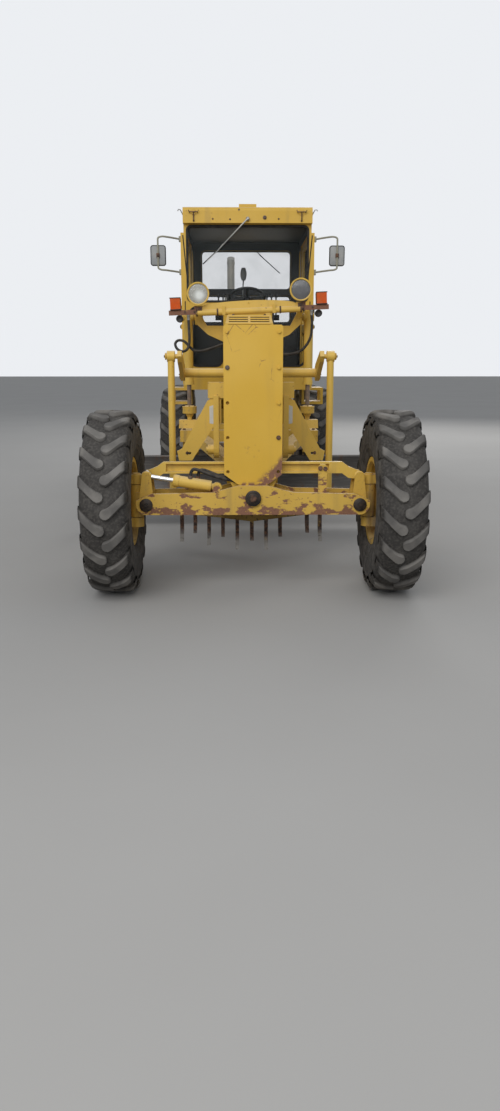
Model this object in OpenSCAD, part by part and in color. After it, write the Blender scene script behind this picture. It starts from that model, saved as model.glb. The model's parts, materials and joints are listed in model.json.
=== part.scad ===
// Motor grader with leaning front wheels, a front scarifier, a drawbar that carries
// the circle and blade, an enclosed cab, and an engine frame on tandem wheels.
// Millimetres. The front faces -Y, +Z is up. Every module is drawn with the front
// axle at Y = 0, and at_origin() moves it so that the origin is under the middle.

/* [Wheels] */
// Radius of a tyre over its lugs
tyre_r = 685; // [660:5:705]
// Width of a tyre
tyre_w = 350; // [345:5:370]
// Radius of the bead seat
bead_r = 305; // [290:5:320]
// Height of a lug above the tread
lug_h = 32; // [20:2:38]
// Lugs on each side of a tyre
lug_count = 18; // [15:1:20]
// Distance between the middles of the rear tyres
rear_track = 1885; // [1865:5:1905]
// Front axle to the middle of the tandem
wheelbase = 5960; // [5940:10:6100]
// Distance between the two tandem axles
tandem_pitch = 1520; // [1500:10:1600]
// Radius of the wheel spindles
spindle_r = 42; // [36:1:46]

/* [Front axle] */
// Distance between the two lean pins of the beam
lean_pin_span = 1590; // [1570:10:1600]
// Lean pin to kingpin
kingpin_offset = 85; // [80:1:95]
// Kingpin to the middle of the tyre
spindle_offset = 165; // [155:5:175]
// Height of the lean pins
lean_pin_z = 680; // [670:5:690]
// Height of the pins of the lean bar above the lean pins
lean_bar_rise = 205; // [200:5:215]
// Length of a steering arm
steer_arm = 193; // [185:1:200]
// Thickness of the front beam plate
beam_plate_t = 40; // [30:2:44]
// Thickness of the rear beam plate
beam_back_t = 25; // [20:1:30]
// Radius of the lean pins
lean_pin_r = 30; // [25:1:34]
// Radius of the kingpins
kingpin_r = 30; // [25:1:34]

/* [Nose plate] */
// Width of the nose plate
nose_w = 430; // [420:2:450]
// Lowest edge of the nose plate
nose_z0 = 816; // [812:2:826]
// Top edge of the nose plate
nose_z1 = 1975; // [1965:5:1990]
// Thickness of the nose plate
nose_t = 35; // [25:1:40]
// Distance between the two columns of bolt holes
nose_hole_span = 374; // [350:2:380]
// Height of the lowest pair of holes
nose_hole_z = 920; // [915:1:930]
// Distance between rows of holes
nose_hole_pitch = 252; // [245:1:254]
// Radius of a bolt hole
nose_hole_r = 12.5; // [10:0.5:15]

/* [Main frame] */
// Width of the box frame
frame_w = 400; // [380:5:410]
// Height of the top of the gooseneck
frame_top_z = 1960; // [1950:5:1965]
// Height of the underside of the gooseneck
frame_belly_z = 1550; // [1540:5:1560]
// Height of the foot of the nose, above the axle beam
nose_foot_z = 1000; // [995:5:1020]
// Depth of the nose box from front to back
nose_depth = 485; // [470:5:500]
// Height of the cab floor's underside
floor_z = 1420; // [1415:5:1430]
// Radius of the hitch pin
hitch_pin_r = 45; // [38:1:50]
// Front axle to the hitch pin
hitch_y = 4600; // [4590:5:4620]

/* [Scarifier] */
// Pitch of the teeth
tooth_pitch = 119; // [114:1:120]
// Thickness of a shank
shank_t = 30; // [24:1:34]
// Depth of a shank
shank_d = 70; // [60:2:76]
// Tip height of the long teeth
tooth_long_z = 210; // [200:5:240]
// Tip height of the short teeth
tooth_short_z = 300; // [290:5:320]
// Radius of the scarifier's lift links
link_r = 29; // [24:1:32]
// Radius of the cross shaft
cross_shaft_r = 40; // [34:1:42]

/* [Drawbar and blade] */
// Front axle to the centre of the circle
circle_y = 2500; // [2490:5:2510]
// Outer radius of the circle
circle_r = 720; // [700:5:730]
// Width of the circle's ring
circle_w = 110; // [95:5:120]
// Half the length of the blade
blade_half = 1650; // [1600:10:1655]
// Height of the blade from edge to edge
blade_h = 630; // [600:10:640]
// Height of the cutting edge above the ground
blade_z0 = 130; // [125:5:160]
// Thickness of the blade plate
blade_t = 22; // [18:1:26]
// Distance between the two lift cylinders
lift_span = 1200; // [1190:5:1210]
// Radius of the lift cylinders
lift_r = 44; // [38:1:46]
// Height of the lift cylinders' trunnions
trunnion_z = 2150; // [2145:5:2160]

/* [Cab] */
// Width of the cab
cab_w = 1400; // [1390:5:1410]
// Front axle to the cab's front wall
cab_y0 = 2950; // [2945:5:2960]
// Length of the cab
cab_len = 1470; // [1460:5:1480]
// Thickness of the cab's walls
wall_t = 60; // [50:2:64]
// Height of the top of the posts
post_top_z = 3110; // [3090:5:3120]
// Height of the roof
roof_z = 3270; // [3260:5:3280]
// Thickness of the glass
glass_t = 8; // [6:1:10]
// Gap round a door
door_gap = 6; // [5:0.5:8]

/* [Engine end] */
// Width of the engine hood
hood_w = 860; // [840:10:880]
// Height of the top of the hood
hood_z = 2060; // [2040:5:2080]
// Length of the rear frame behind the tandem's middle
rear_overhang = 1700; // [1690:5:1720]
// Radius of the exhaust stack
stack_r = 55; // [45:1:60]
// Height of the top of the stack
stack_z = 3200; // [3150:10:3210]

/* [Clearances] */
// Radial clearance of pins and shafts
fit = 0.05; // [0.02:0.01:0.1]
// Clearance between moving pieces
gap = 6; // [5:0.5:8]
// Clearance of pieces that only rest against each other
seat_gap = 0.3; // [0.2:0.1:0.5]

/* [Hidden] */
$fn = 48;

yellow = [0.80, 0.62, 0.20];
worn_steel = [0.36, 0.33, 0.31];
rust = [0.40, 0.25, 0.18];
black = [0.10, 0.10, 0.10];
rubber = [0.20, 0.18, 0.16];
chrome = [0.80, 0.80, 0.80];
clear = [0.70, 0.80, 0.85];

overall = tyre_r + wheelbase + rear_overhang;
axle_y = tyre_r - overall / 2;
lean_x = lean_pin_span / 2;
kingpin_x = lean_x + kingpin_offset;
front_track = 2 * (kingpin_x + spindle_offset);
half_frame = frame_w / 2;
tread_r = tyre_r - lug_h;
wheel_z = tyre_r;
tandem_y = [wheelbase - tandem_pitch / 2, wheelbase + tandem_pitch / 2];

// Heights and depths of the front axle's parts, from its middle plane
beam_y = 110;
beam_half_h = 80;
beam_hump_z = 820;
knuckle_cap_h = 70;
kingpin_boss_r = 50;
kingpin_z = [570, 815];
lean_bar_y = [0, 50];
rod_eye_y = [-75, -50];
base_eye_y = [-86, -39];
pin_small_r = 20;
tie_z = 530;
tie_rod_z = 588;
tie_arm_t = 18;
tie_boss_r = 26;
tie_ball_r = 20;
tie_slide = 9;
lock_hole = [518, 947];
lean_base = [-270, 800];
lean_barrel_r = 42;
lean_barrel_len = 330;
axle_pin_z = 730;

// The scarifier's hinge, its link pins, the cross shaft and the lever tips, as [Y, Z]
scar_hinge = [330, 680];
scar_pin = [870, 550];
shaft_at = [1320, 1620];
lever_tip = [920, 1760];
link_x = 670;
beam_z = [455, 550];
scar_half = 5 * tooth_pitch;

// The drawbar's ball and the pins of the lift cylinders, as [Y, Z]
ball_at = [300, 820];
lift_y = 2350;
lift_pin_z = 1200;
lift_ball_r = 40;
// The cups over those balls swing off their middles, so they have play
lift_cup_r = lift_ball_r + 22;
lift_cup_t = 10;
lever_x = 165;
lever_pitch = 50;
lift_x = lift_span / 2;
barrel_low_z = 1490;
drawbar_z = [950, 1060];
circle_z = [870, 945];
saddle_y = [2180, 2300];
valve_h = 185;

// The light bar: height of its tube, its tilt, its lamps and the arms of the signals
bar_z = 2190;
bar_tilt = 2.3;
lamp_x = [-475, 498];
lamp_z = 2362;
arm_z = [2176, 2221];

// The articulation cylinders' pins, as [X, Y], and their height
art_front = [330, 3900];
art_rear = [430, 5050];
art_z = 1220;

cab_y1 = cab_y0 + cab_len;
cab_x = cab_w / 2;
sill_z = floor_z + 60;
door_y = [cab_y0 + 130, cab_y0 + 1070];
door_z = [sill_z + 60, post_top_z - 80];
door_pin_x = cab_x + 14;
mirror_arm_z = [2635, 2965];
screen_z = [2340, 3090];
screen_x = cab_x - 68;
low_pane_x = [270, cab_x - 85];
low_pane_z = [1670, screen_z[0] - 60];
rear_pane_x = cab_x - 155;
rear_panes = [[2180, 2500], [2570, 3020]];
side_pane_z = [2150, 3000];
rear_y = wheelbase + rear_overhang;
engine_y = [hitch_y + 900, rear_y - 760];

module at_origin() {
    translate([0, axle_y, 0]) children();
}

// A box from its lowest to its highest corner
module block(x, y, z) {
    translate([x[0], y[0], z[0]]) cube([x[1] - x[0], y[1] - y[0], z[1] - z[0]]);
}

// A flat outline of [X, Z] points, from one Y to another
module plate_xz(y, points) {
    translate([0, y[1], 0]) rotate([90, 0, 0]) linear_extrude(y[1] - y[0]) polygon(points);
}

// A flat outline of [Y, Z] points, from one X to another
module plate_yz(x, points) {
    translate([x[0], 0, 0]) rotate([90, 0, 90]) linear_extrude(x[1] - x[0]) polygon(points);
}

module rod_x(x, at, r) {
    translate([x[0], at[0], at[1]]) rotate([0, 90, 0]) cylinder(r = r, h = x[1] - x[0]);
}

module rod_y(y, at, r) {
    translate([at[0], y[0], at[1]]) rotate([-90, 0, 0]) cylinder(r = r, h = y[1] - y[0]);
}

module rod_z(z, at, r) {
    translate([at[0], at[1], z[0]]) cylinder(r = r, h = z[1] - z[0]);
}

// A round bar between two points
module strut(p, q, r) {
    d = q - p;
    len = norm(d);
    translate(p) rotate([0, acos(d[2] / len), atan2(d[1], d[0])]) cylinder(r = r, h = len);
}

// A square-cornered bar between two points, w wide across and h high
module bar(p, q, w, h) {
    d = q - p;
    len = norm(d);
    translate(p) rotate([0, acos(d[2] / len), atan2(d[1], d[0])])
        translate([-h / 2, -w / 2, 0]) cube([h, w, len]);
}

module both_sides() {
    children();
    mirror([1, 0, 0]) children();
}

// Outline with rounded corners, as [low X, high X] and [low Z, high Z]
function arc_at(c, r, a0, n = 4) = [for (i = [0:n]) c + r * [cos(a0 + 90 * i / n), sin(a0 + 90 * i / n)]];
function rounded(u, v, r) = concat(
    arc_at([u[1] - r, v[1] - r], r, 0), arc_at([u[0] + r, v[1] - r], r, 90),
    arc_at([u[0] + r, v[0] + r], r, 180), arc_at([u[1] - r, v[0] + r], r, 270));

// Frame and nose

module main_frame() {
    front = nose_t - 100;
    back = front + nose_depth;
    color(yellow) difference() {
        union() {
            // Side outline of the gooseneck, from the foot of the nose to the hitch
            plate_yz([-half_frame, half_frame], concat(
                [[front, nose_foot_z], [back, nose_foot_z], [back, frame_belly_z - 330]],
                [for (a = [180:-15:90]) [back + 330, frame_belly_z - 330] + 330 * [cos(a), sin(a)]],
                [[2300, frame_belly_z], [3700, 1150], [hitch_y - 160, 1100],
                 [hitch_y - 160, floor_z], [cab_y0 + 200, floor_z], [2350, frame_top_z],
                 [front, frame_top_z]]));
            // Bolster cheeks round the axle's centre pin
            for (y = [[front, front + 40], [65, 105]])
                plate_xz(y, [[-half_frame, nose_foot_z], [-half_frame, 900], [-110, axle_pin_z - 20],
                    [-60, axle_pin_z - 75], [60, axle_pin_z - 75], [110, axle_pin_z - 20],
                    [half_frame, 900], [half_frame, nose_foot_z]]);
            rod_y([front, 105], [0, axle_pin_z], 72);
            // Ball for the drawbar, on a neck under the nose
            rod_z([ball_at[1], nose_foot_z + 5], [0, ball_at[0]], 32);
            translate([0, ball_at[0], ball_at[1]]) sphere(r = 60);
            // Lugs for the scarifier's drag arms
            both_sides() plate_yz([half_frame - 40, half_frame],
                [[back - 180, nose_foot_z], [scar_hinge[0] - 55, scar_hinge[1] - 10],
                 [scar_hinge[0] - 30, scar_hinge[1] - 50], [scar_hinge[0] + 30, scar_hinge[1] - 50],
                 [scar_hinge[0] + 55, scar_hinge[1] - 10], [back, nose_foot_z]]);
            rod_x([-half_frame, half_frame], scar_hinge, 25);
            both_sides() rod_x([half_frame - 5, half_frame + 75], scar_hinge, 25);
            // Upper and lower ears of the hitch
            for (z = [[1100, 1150], [floor_z - 50, floor_z]]) {
                block([-half_frame, half_frame], [hitch_y - 170, hitch_y], z);
                rod_z(z, [0, hitch_y], 130);
            }
            rod_z([1080, floor_z + 20], [0, hitch_y], hitch_pin_r);
            // Brackets for the articulation cylinders
            both_sides() for (z = [[art_z - 80, art_z - 50], [art_z + 50, art_z + 80]])
                block([half_frame - 5, art_front[0] + 50], [art_front[1] - 70, art_front[1] + 60], z);
            both_sides() rod_z([art_z - 80, art_z + 80], art_front, 25);
        }
        // Bore for the axle's centre pin and for the cross shaft
        rod_y([front - 1, 106], [0, axle_pin_z], 38 + fit);
        rod_x([-half_frame - 1, half_frame + 1], shaft_at, cross_shaft_r + fit);
    }
}

module nose_plate() {
    x = nose_w / 2;
    rows = [0:4];
    color(yellow) difference() {
        plate_xz([-100, nose_t - 100], [[-x, nose_z0 + 84], [-x + 115, nose_z0], [x - 115, nose_z0],
            [x, nose_z0 + 84], [x, nose_z1 - 12], [x - 12, nose_z1], [-x + 12, nose_z1], [-x, nose_z1 - 12]]);
        for (s = [-1, 1], i = rows)
            rod_y([-101, nose_t - 99], [s * nose_hole_span / 2, nose_hole_z + i * nose_hole_pitch], nose_hole_r);
    }
}

module axle_beam() {
    x = lean_x;
    h = beam_half_h;
    outline = concat(
        [for (a = [270:15:360]) [x, lean_pin_z] + (h - 4) * [cos(a), sin(a)]],
        [[x + h - 4, lean_pin_z + 30], [x - 40, lean_pin_z + h], [300, lean_pin_z + h + 10],
         [150, beam_hump_z - 10], [110, beam_hump_z]]);
    full = concat(outline, [for (i = [len(outline) - 1:-1:0]) [-outline[i][0], outline[i][1]]]);
    color(rust) union() {
        for (y = [[-beam_y - beam_plate_t, -beam_y], [beam_y, beam_y + beam_back_t]])
            plate_xz(y, full);
        // Web between the plates, clear of the housings and of the bolster
        both_sides() block([260, x - 130], [-beam_y, beam_y], [lean_pin_z - h + 20, lean_pin_z - 20]);
        both_sides() rod_y([-beam_y - beam_plate_t - 14, beam_y + beam_back_t + 8], [x, lean_pin_z], lean_pin_r);
        both_sides() rod_y([-beam_y - beam_plate_t - 8, -beam_y], [x, lean_pin_z], 48);
        rod_y([-beam_y - beam_plate_t - 12, -beam_y], [0, axle_pin_z], 57);
        rod_y([-beam_y - beam_plate_t - 30, beam_y + beam_back_t + 20], [0, axle_pin_z], 38);
        // Lock post for the lean bar
        difference() {
            plate_xz([-beam_y, -beam_y + 25], [[486, 700], [549, 700], [549, 956], [536, 976],
                [499, 976], [486, 956]]);
            rod_y([-beam_y - 1, -beam_y + 26], lock_hole, 14);
        }
        // Foot of the lean cylinder
        for (y = [[-beam_y, base_eye_y[0] - gap], [base_eye_y[1] + gap, 10]])
            plate_xz(y, [[lean_base[0] - 50, 700], [lean_base[0] + 10, 700], [lean_base[0] + 24, lean_base[1]],
                [lean_base[0], lean_base[1] + 26], [lean_base[0] - 24, lean_base[1] + 10]]);
        block([lean_base[0] - 60, lean_base[0] + 10], [-beam_y, beam_y], [lean_pin_z - h + 20, lean_pin_z + 22]);
        rod_y([-beam_y, 10], lean_base, pin_small_r);
    }
}

module scarifier_hanger() {
    color(yellow) difference() {
        union() {
            // Cross box under the gooseneck
            block([-360, 360], [790, 930], [frame_belly_z - 130, frame_belly_z - seat_gap]);
            both_sides() {
                // Longitudinal plate with a rounded foot
                plate_yz([270, 315], concat([[930, 1440], [760, 1440], [760, 1010]],
                    [for (a = [180:20:360]) [845, 1000] + 85 * [cos(a), sin(a)]]));
                rod_x([315, 365], [845, 990], 42);
                rod_x([365, 380], [845, 990], 24);
                // Diagonal guide plate
                plate_xz([800, 825], [[250, 1210], [300, 1210], [500, 900], [610, 900], [625, 980],
                    [585, 1000], [365, 1400], [300, 1440], [250, 1440]]);
                plate_yz([555, 575], [[825, 900], [905, 920], [905, 985], [825, 1010]]);
            }
        }
        both_sides() rod_y([799, 826], [520, 965], 14);
    }
}

module valve_cover() {
    z0 = frame_top_z;
    color(yellow) difference() {
        plate_yz([-250, 250], [[1850, z0], [2160, z0], [2160, z0 + 150], [2110, z0 + valve_h],
            [1930, z0 + valve_h], [1850, z0 + 110]]);
        // Sides that lean in
        both_sides() plate_xz([1849, 2161], [[250, z0], [251, z0 - 1], [251, z0 + valve_h + 1], [206, z0 + valve_h + 1],
            [206, z0 + valve_h]]);
        // Louvres across the front
        for (i = [0:3])
            block([-200, 200], [1840, 1875], [z0 + 18 + i * 24, z0 + 28 + i * 24]);
    }
}

module lift_saddle() {
    w = half_frame;
    color(yellow) union() {
        // Straps round the gooseneck
        both_sides() block([w, w + 30], saddle_y, [frame_belly_z, frame_top_z + 100]);
        block([-w - 30, w + 30], saddle_y, [frame_belly_z - 30, frame_belly_z]);
        // V arms from the frame up to the trunnions
        both_sides() {
            plate_xz([2200, 2300], [[w + 30, frame_top_z + 100], [w + 30, frame_top_z - 60], [400, 1975],
                [lift_x - 90, 2075], [lift_x - 70, trunnion_z + 60], [lift_x - 110, trunnion_z + 60],
                [410, 2060], [w + 80, frame_top_z + 100]]);
            block([lift_x - 120, lift_x - 70], [2290, lift_y + 60], [trunnion_z - 75, trunnion_z + 60]);
            rod_x([lift_x - 75, lift_x - lift_r - 12], [lift_y, trunnion_z], 34);
            rod_x([lift_x - lift_r - 13, lift_x - lift_r + 8], [lift_y, trunnion_z], 22);
        }
    }
}

// The light bar stands bent, higher on its +X side
module bent() {
    translate([0, 0, bar_z]) rotate([0, -bar_tilt, 0]) translate([0, 0, -bar_z]) children();
}

module light_bar() {
    color(yellow) union() {
        bent() {
            rod_x([-500, 500], [2020, bar_z], 30);
            both_sides() plate_yz([225, 255], [[1990, 2160], [2050, 2160], [2060, 2240], [1980, 2240]]);
            // Low curved screen over the tube, with a notch in its middle
            difference() {
                plate_xz([2010, 2030], concat([[-450, bar_z + 10], [450, bar_z + 10]],
                    [for (a = [0:10:180]) [445 * cos(a), 2243 + 43 * sin(a)]]));
                plate_xz([2009, 2031], [[-14, 2250], [14, 2250], [0, 2272]]);
            }
            for (x = lamp_x) block([x - 45, x + 45], [2006, 2034], [2205, lamp_z - 107 - seat_gap]);
            both_sides() block([480, 765], [2008, 2032], arm_z);
        }
        for (s = [-1, 1]) translate([s * 180, 0, 0])
            block([-20, 20], [2005, 2035], [frame_top_z + valve_h + seat_gap, 2200]);
    }
}

module head_lamps() {
    color(yellow) for (x = lamp_x)
        translate([x, 2090, lamp_z]) rotate([90, 0, 0]) union() {
            rotate_extrude() polygon([[0, 0], [60, 4], [92, 30], [104, 70], [106, 128], [96, 140], [90, 128], [0, 118]]);
            translate([-24, -107, 50]) cube([48, 20, 40]);
        }
}

module lamps() {
    bent() {
        head_lamps();
        turn_signals();
    }
}

module turn_signals() {
    color([0.85, 0.35, 0.10]) both_sides() union() {
        block([645, 750], [1985, 2045], [arm_z[1] + seat_gap, 2340]);
        block([650, 745], [2045, 2085], [arm_z[1] + seat_gap, 2335]);
    }
    color(black) both_sides() rod_y([1990, 2060], [665, arm_z[0] - 34 - seat_gap], 34);
}

// Cab

module cab_floor() {
    color(yellow) difference() {
        block([-cab_x + 5, cab_x - 5], [cab_y0, cab_y1], [floor_z, sill_z]);
        // The gooseneck slopes down through the floor's front edge
        block([-half_frame - 8, half_frame + 8], [cab_y0 - 1, cab_y0 + 215], [floor_z - 1, sill_z + 1]);
    }
    // Side steps below the doors
    color(yellow) both_sides() difference() {
        block([cab_x - 60, cab_x + 190], [cab_y0 + 700, cab_y0 + 1100], [floor_z - 190, floor_z]);
        block([cab_x - 30, cab_x + 160], [cab_y0 + 699, cab_y0 + 1101], [floor_z - 160, floor_z - 30]);
        block([cab_x + 150, cab_x + 191], [cab_y0 + 740, cab_y0 + 1060], [floor_z - 161, floor_z - 29]);
    }
}

module wall_openings() {
    w = wall_t;
    // Windscreen, and the two windows below it beside the frame
    plate_xz([cab_y0 - 1, cab_y0 + w + 1], rounded([-screen_x, screen_x], screen_z, 45));
    both_sides() plate_xz([cab_y0 - 1, cab_y0 + w + 1], rounded(low_pane_x, low_pane_z, 70));
    // Rear windows, one above the other
    for (z = rear_panes) plate_xz([cab_y1 - w - 1, cab_y1 + 1], rounded([-rear_pane_x, rear_pane_x], z, 50));
}

module cab_frame() {
    w = wall_t;
    color(yellow) difference() {
        block([-cab_x, cab_x], [cab_y0, cab_y1], [sill_z, post_top_z]);
        block([-cab_x + w, cab_x - w], [cab_y0 + w, cab_y1 - w], [sill_z - 1, post_top_z + 1]);
        wall_openings();
        // The sides step in under the roof
        both_sides() block([cab_x - 32, cab_x + 1], [cab_y0 - 1, cab_y1 + 1], [door_z[1] - 5, post_top_z + 1]);
        // The gooseneck passes through the front wall
        block([-half_frame - 8, half_frame + 8], [cab_y0 - 1, cab_y0 + w + 1], [sill_z - 1, 1600]);
        for (s = [[-cab_x - 1, -cab_x + w + 1], [cab_x - w - 1, cab_x + 1]]) {
            block(s, door_y, door_z);
            plate_yz(s, rounded([door_y[1] + 90, cab_y1 - 90], side_pane_z, 40));
        }
    }
    // Hinge posts of the doors
    color(yellow) both_sides() for (z = [1800, 2700]) difference() {
        union() {
            block([cab_x, door_pin_x], [door_y[1] + 16, door_y[1] + 50], [z, z + 40]);
            rod_z([z, z + 40], [door_pin_x, door_y[1] + 16], 13);
        }
        rod_z([z - 1, z + 41], [door_pin_x, door_y[1] + 16], 7 + fit);
    }
}

module cab_roof() {
    x = cab_x - 30;
    color(yellow) union() {
        plate_yz([-x, x], concat([[cab_y0 - 70, post_top_z + seat_gap], [cab_y1 + 40, post_top_z + seat_gap]],
            arc_at([cab_y1 + 0, roof_z - 40], 40, 0), arc_at([cab_y0 - 30, roof_z - 40], 40, 90)));
        // Base for a beacon
        block([-90, 90], [cab_y0 - 30, cab_y0 + 150], [roof_z - 5, roof_z + 30]);
        // Wiper pivot and the two brackets on the header
        rod_y([cab_y0 - 86, cab_y0 - 69], [0, post_top_z + 38], 18);
        both_sides() block([540, 574], [cab_y0 - 82, cab_y0 - 69], [post_top_z + 80, post_top_z + 130]);
    }
}

module pane_xz(y, u, v, r) {
    plate_xz([y, y + glass_t], rounded(u + [seat_gap, -seat_gap], v + [seat_gap, -seat_gap], r));
}

module cab_glass() {
    y = cab_y0 + wall_t / 2 - glass_t / 2;
    color(clear) union() {
        pane_xz(y, [-screen_x, screen_x], screen_z, 45);
        both_sides() pane_xz(y, low_pane_x, low_pane_z, 70);
        for (z = rear_panes) pane_xz(cab_y1 - wall_t / 2 - glass_t / 2, [-rear_pane_x, rear_pane_x], z, 50);
        both_sides() plate_yz([cab_x - wall_t / 2 - glass_t / 2, cab_x - wall_t / 2 + glass_t / 2],
            rounded([door_y[1] + 90 + seat_gap, cab_y1 - 90 - seat_gap], side_pane_z + [seat_gap, -seat_gap], 40));
    }
}

module seat_base() {
    color(black) union() {
        block([-150, 150], [3700, 4000], [sill_z, sill_z + 60]);
        rod_z([sill_z + 60, sill_z + 330], [0, 3850], 70);
        block([-230, 230], [3620, 4110], [sill_z + 330, sill_z + 370]);
        block([-200, 200], [4074 + seat_gap, 4110], [sill_z + 330, sill_z + 800]);
    }
}

module seat_pad() {
    color(black) union() {
        block([-240, 240], [3590, 4060], [sill_z + 370 + seat_gap, sill_z + 480]);
        plate_yz([-220, 220], [[3965, sill_z + 480 + seat_gap], [4074, sill_z + 480 + seat_gap], [4074, sill_z + 980],
            [4040, sill_z + 1010], [3990, sill_z + 1000]]);
    }
}

module cab_fittings() {
    seat_base();
    controls();
}

module controls() {
    color(black) union() {
        // Pedestal, column, wheel and the row of levers
        plate_yz([-130, 130], [[3190, sill_z], [3400, sill_z], [3360, 2180], [3250, 2230], [3190, 2200]]);
        strut([0, 3300, 2190], [0, 3400, 2405], 24);
        translate([0, 3400, 2405]) rotate([-28, 0, 0]) union() {
            rotate_extrude() translate([195, 0]) circle(r = 15, $fn = 24);
            for (a = [30:120:270]) rotate([0, 0, a]) translate([0, -12, -6]) cube([190, 24, 12]);
            cylinder(r = 38, h = 30, center = true);
        }
        both_sides() for (i = [0:3]) {
            rod_z([2190, 2410], [lever_x + i * lever_pitch, 3250], 8);
            rod_z([2400, 2436], [lever_x + i * lever_pitch, 3250], 18);
        }
        both_sides() block([125, 350], [3215, 3285], [2160, 2215]);
    }
}

module mirrors() {
    x = cab_x + 230;
    y = [cab_y0 + 30, cab_y0 - 60, cab_y0 - 90];
    color(yellow) both_sides() union() {
        for (z = mirror_arm_z) block([cab_x + seat_gap, cab_x + 24], [cab_y0 + 5, cab_y0 + 55], [z - 30, z + 30]);
        for (z = mirror_arm_z) {
            strut([cab_x + 12, y[0], z], [cab_x + 120, y[1], z + 8], 11);
            strut([cab_x + 120, y[1], z + 8], [x, y[2], z + 10], 11);
            rod_z([z - 8, z + 24], [cab_x + 120, y[1]], 16);
            rod_z([z - 6, z + 26], [x, y[2]], 16);
        }
        strut([x, y[2], mirror_arm_z[0] + 10], [x, y[2], mirror_arm_z[1] + 10], 11);
    }
    color(worn_steel) both_sides()
        plate_xz([cab_y0 - 79 + seat_gap, cab_y0 - 50], rounded([x - 80, x + 80], [2688, 2892], 20));
}

// Doors: s is 1 on the +X side and -1 on the other

module door(s) {
    mirror([s < 0 ? 1 : 0, 0, 0]) color(yellow) union() {
        difference() {
            plate_yz([cab_x - 45, cab_x - 5], rounded(door_y + [door_gap, -door_gap], door_z + [door_gap, -door_gap], 20));
            plate_yz([cab_x - 46, cab_x - 4], rounded(door_y + [90, -90], [2130, door_z[1] - 80], 45));
            plate_yz([cab_x - 46, cab_x - 4], rounded(door_y + [90, -90], [door_z[0] + 90, 2040], 45));
        }
        block([cab_x - 5, cab_x + 22], [door_y[0] + 30, door_y[0] + 60], [2060, 2110]);
        for (z = [1800, 2700]) {
            block([cab_x - 8, cab_x + 24], [door_y[1] - 34, door_y[1] - 8], [z + 40 + seat_gap, z + 80]);
            block([cab_x + 4, cab_x + 24], [door_y[1] - 10, door_y[1] + 16], [z + 40 + seat_gap, z + 80]);
            rod_z([z + 40 + seat_gap, z + 80], [door_pin_x, door_y[1] + 16], 13);
            rod_z([z, z + 80], [door_pin_x, door_y[1] + 16], 7);
        }
    }
}

module door_glass(s) {
    x = cab_x - 25;
    mirror([s < 0 ? 1 : 0, 0, 0]) color(clear) union() {
        plate_yz([x - glass_t / 2, x + glass_t / 2],
            rounded(door_y + [90 + seat_gap, -90 - seat_gap], [2130 + seat_gap, door_z[1] - 80 - seat_gap], 45));
        plate_yz([x - glass_t / 2, x + glass_t / 2],
            rounded(door_y + [90 + seat_gap, -90 - seat_gap], [door_z[0] + 90 + seat_gap, 2040 - seat_gap], 45));
    }
}

// Hoses, each a tube swept along its own points

function unit(v) = v / norm(v);
function side_of(t) = unit(cross(t, abs(t[1]) > 0.9 ? [1, 0, 0] : [0, 1, 0]));
function ring(p, t, r, n) = let (a = side_of(t), b = cross(t, a))
    [for (i = [0:n - 1]) p + r * (cos(360 * i / n) * a + sin(360 * i / n) * b)];

module hose(path, r, n = 8) {
    m = len(path);
    tangent = [for (i = [0:m - 1]) unit(path[min(i + 1, m - 1)] - path[max(i - 1, 0)])];
    rings = [for (i = [0:m - 1]) each ring(path[i], tangent[i], r, n)];
    walls = [for (i = [0:m - 2], j = [0:n - 1]) let (k = (j + 1) % n)
        [i * n + j, (i + 1) * n + j, (i + 1) * n + k, i * n + k]];
    caps = [[for (j = [0:n - 1]) j], [for (j = [n - 1:-1:0]) (m - 1) * n + j]];
    polyhedron(rings, concat(walls, caps));
}

hose_left = [[-200.5, 2140, 1880], [-240, 2140, 1880], [-273, 2120, 1875], [-351, 2095, 1847], [-454, 2070, 1817],
    [-532, 2055, 1822], [-580, 2050, 1865], [-630, 2045, 1910], [-685, 2035, 1915], [-711, 2025, 1880], [-687, 2010, 1832],
    [-632, 2000, 1812], [-588, 1998, 1842], [-572, 2004, 1912], [-575, 2014, 2012], [-578, 2020, 2100], [-578, 2020, 2151]];
hose_right = [[601, 2020, 2199], [601, 2020, 2150], [607, 2028, 2062], [596, 2040, 1950], [550, 2060, 1862], [486, 2085, 1809],
    [406, 2110, 1788], [335, 2130, 1788], [260, 2140, 1790], [200.5, 2140, 1790]];

module hoses() {
    color(black) hose(hose_left, 13);
    color(black) hose(hose_right, 13);
}

// Front axle's moving pieces: s is 1 on the +X side

module lean_housing(s) {
    x = lean_x;
    kx = kingpin_x;
    z1 = lean_pin_z + lean_bar_rise;
    mirror([s < 0 ? 1 : 0, 0, 0]) color(yellow) difference() {
        union() {
            rod_y([-beam_y + gap, beam_y - gap], [x, lean_pin_z], 62);
            block([x, kx], [-60, 60], [lean_pin_z - 70, lean_pin_z + 80]);
            rod_z(kingpin_z, [kx, 0], kingpin_boss_r);
            for (y = [[-beam_y + gap, rod_eye_y[0] - gap], [lean_bar_y[1] + gap, 85]]) {
                plate_xz(y, [[x - 55, lean_pin_z], [x + 60, lean_pin_z], [x + 34, z1], [x + 17, z1 + 30],
                    [x - 17, z1 + 30], [x - 34, z1]]);
            }
            rod_y([-beam_y + gap, 85], [x, z1], pin_small_r);
        }
        rod_y([-beam_y, beam_y], [x, lean_pin_z], lean_pin_r + fit);
        rod_z([kingpin_z[0] - 1, kingpin_z[1] + 1], [kx, 0], kingpin_r + fit);
    }
}

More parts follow.
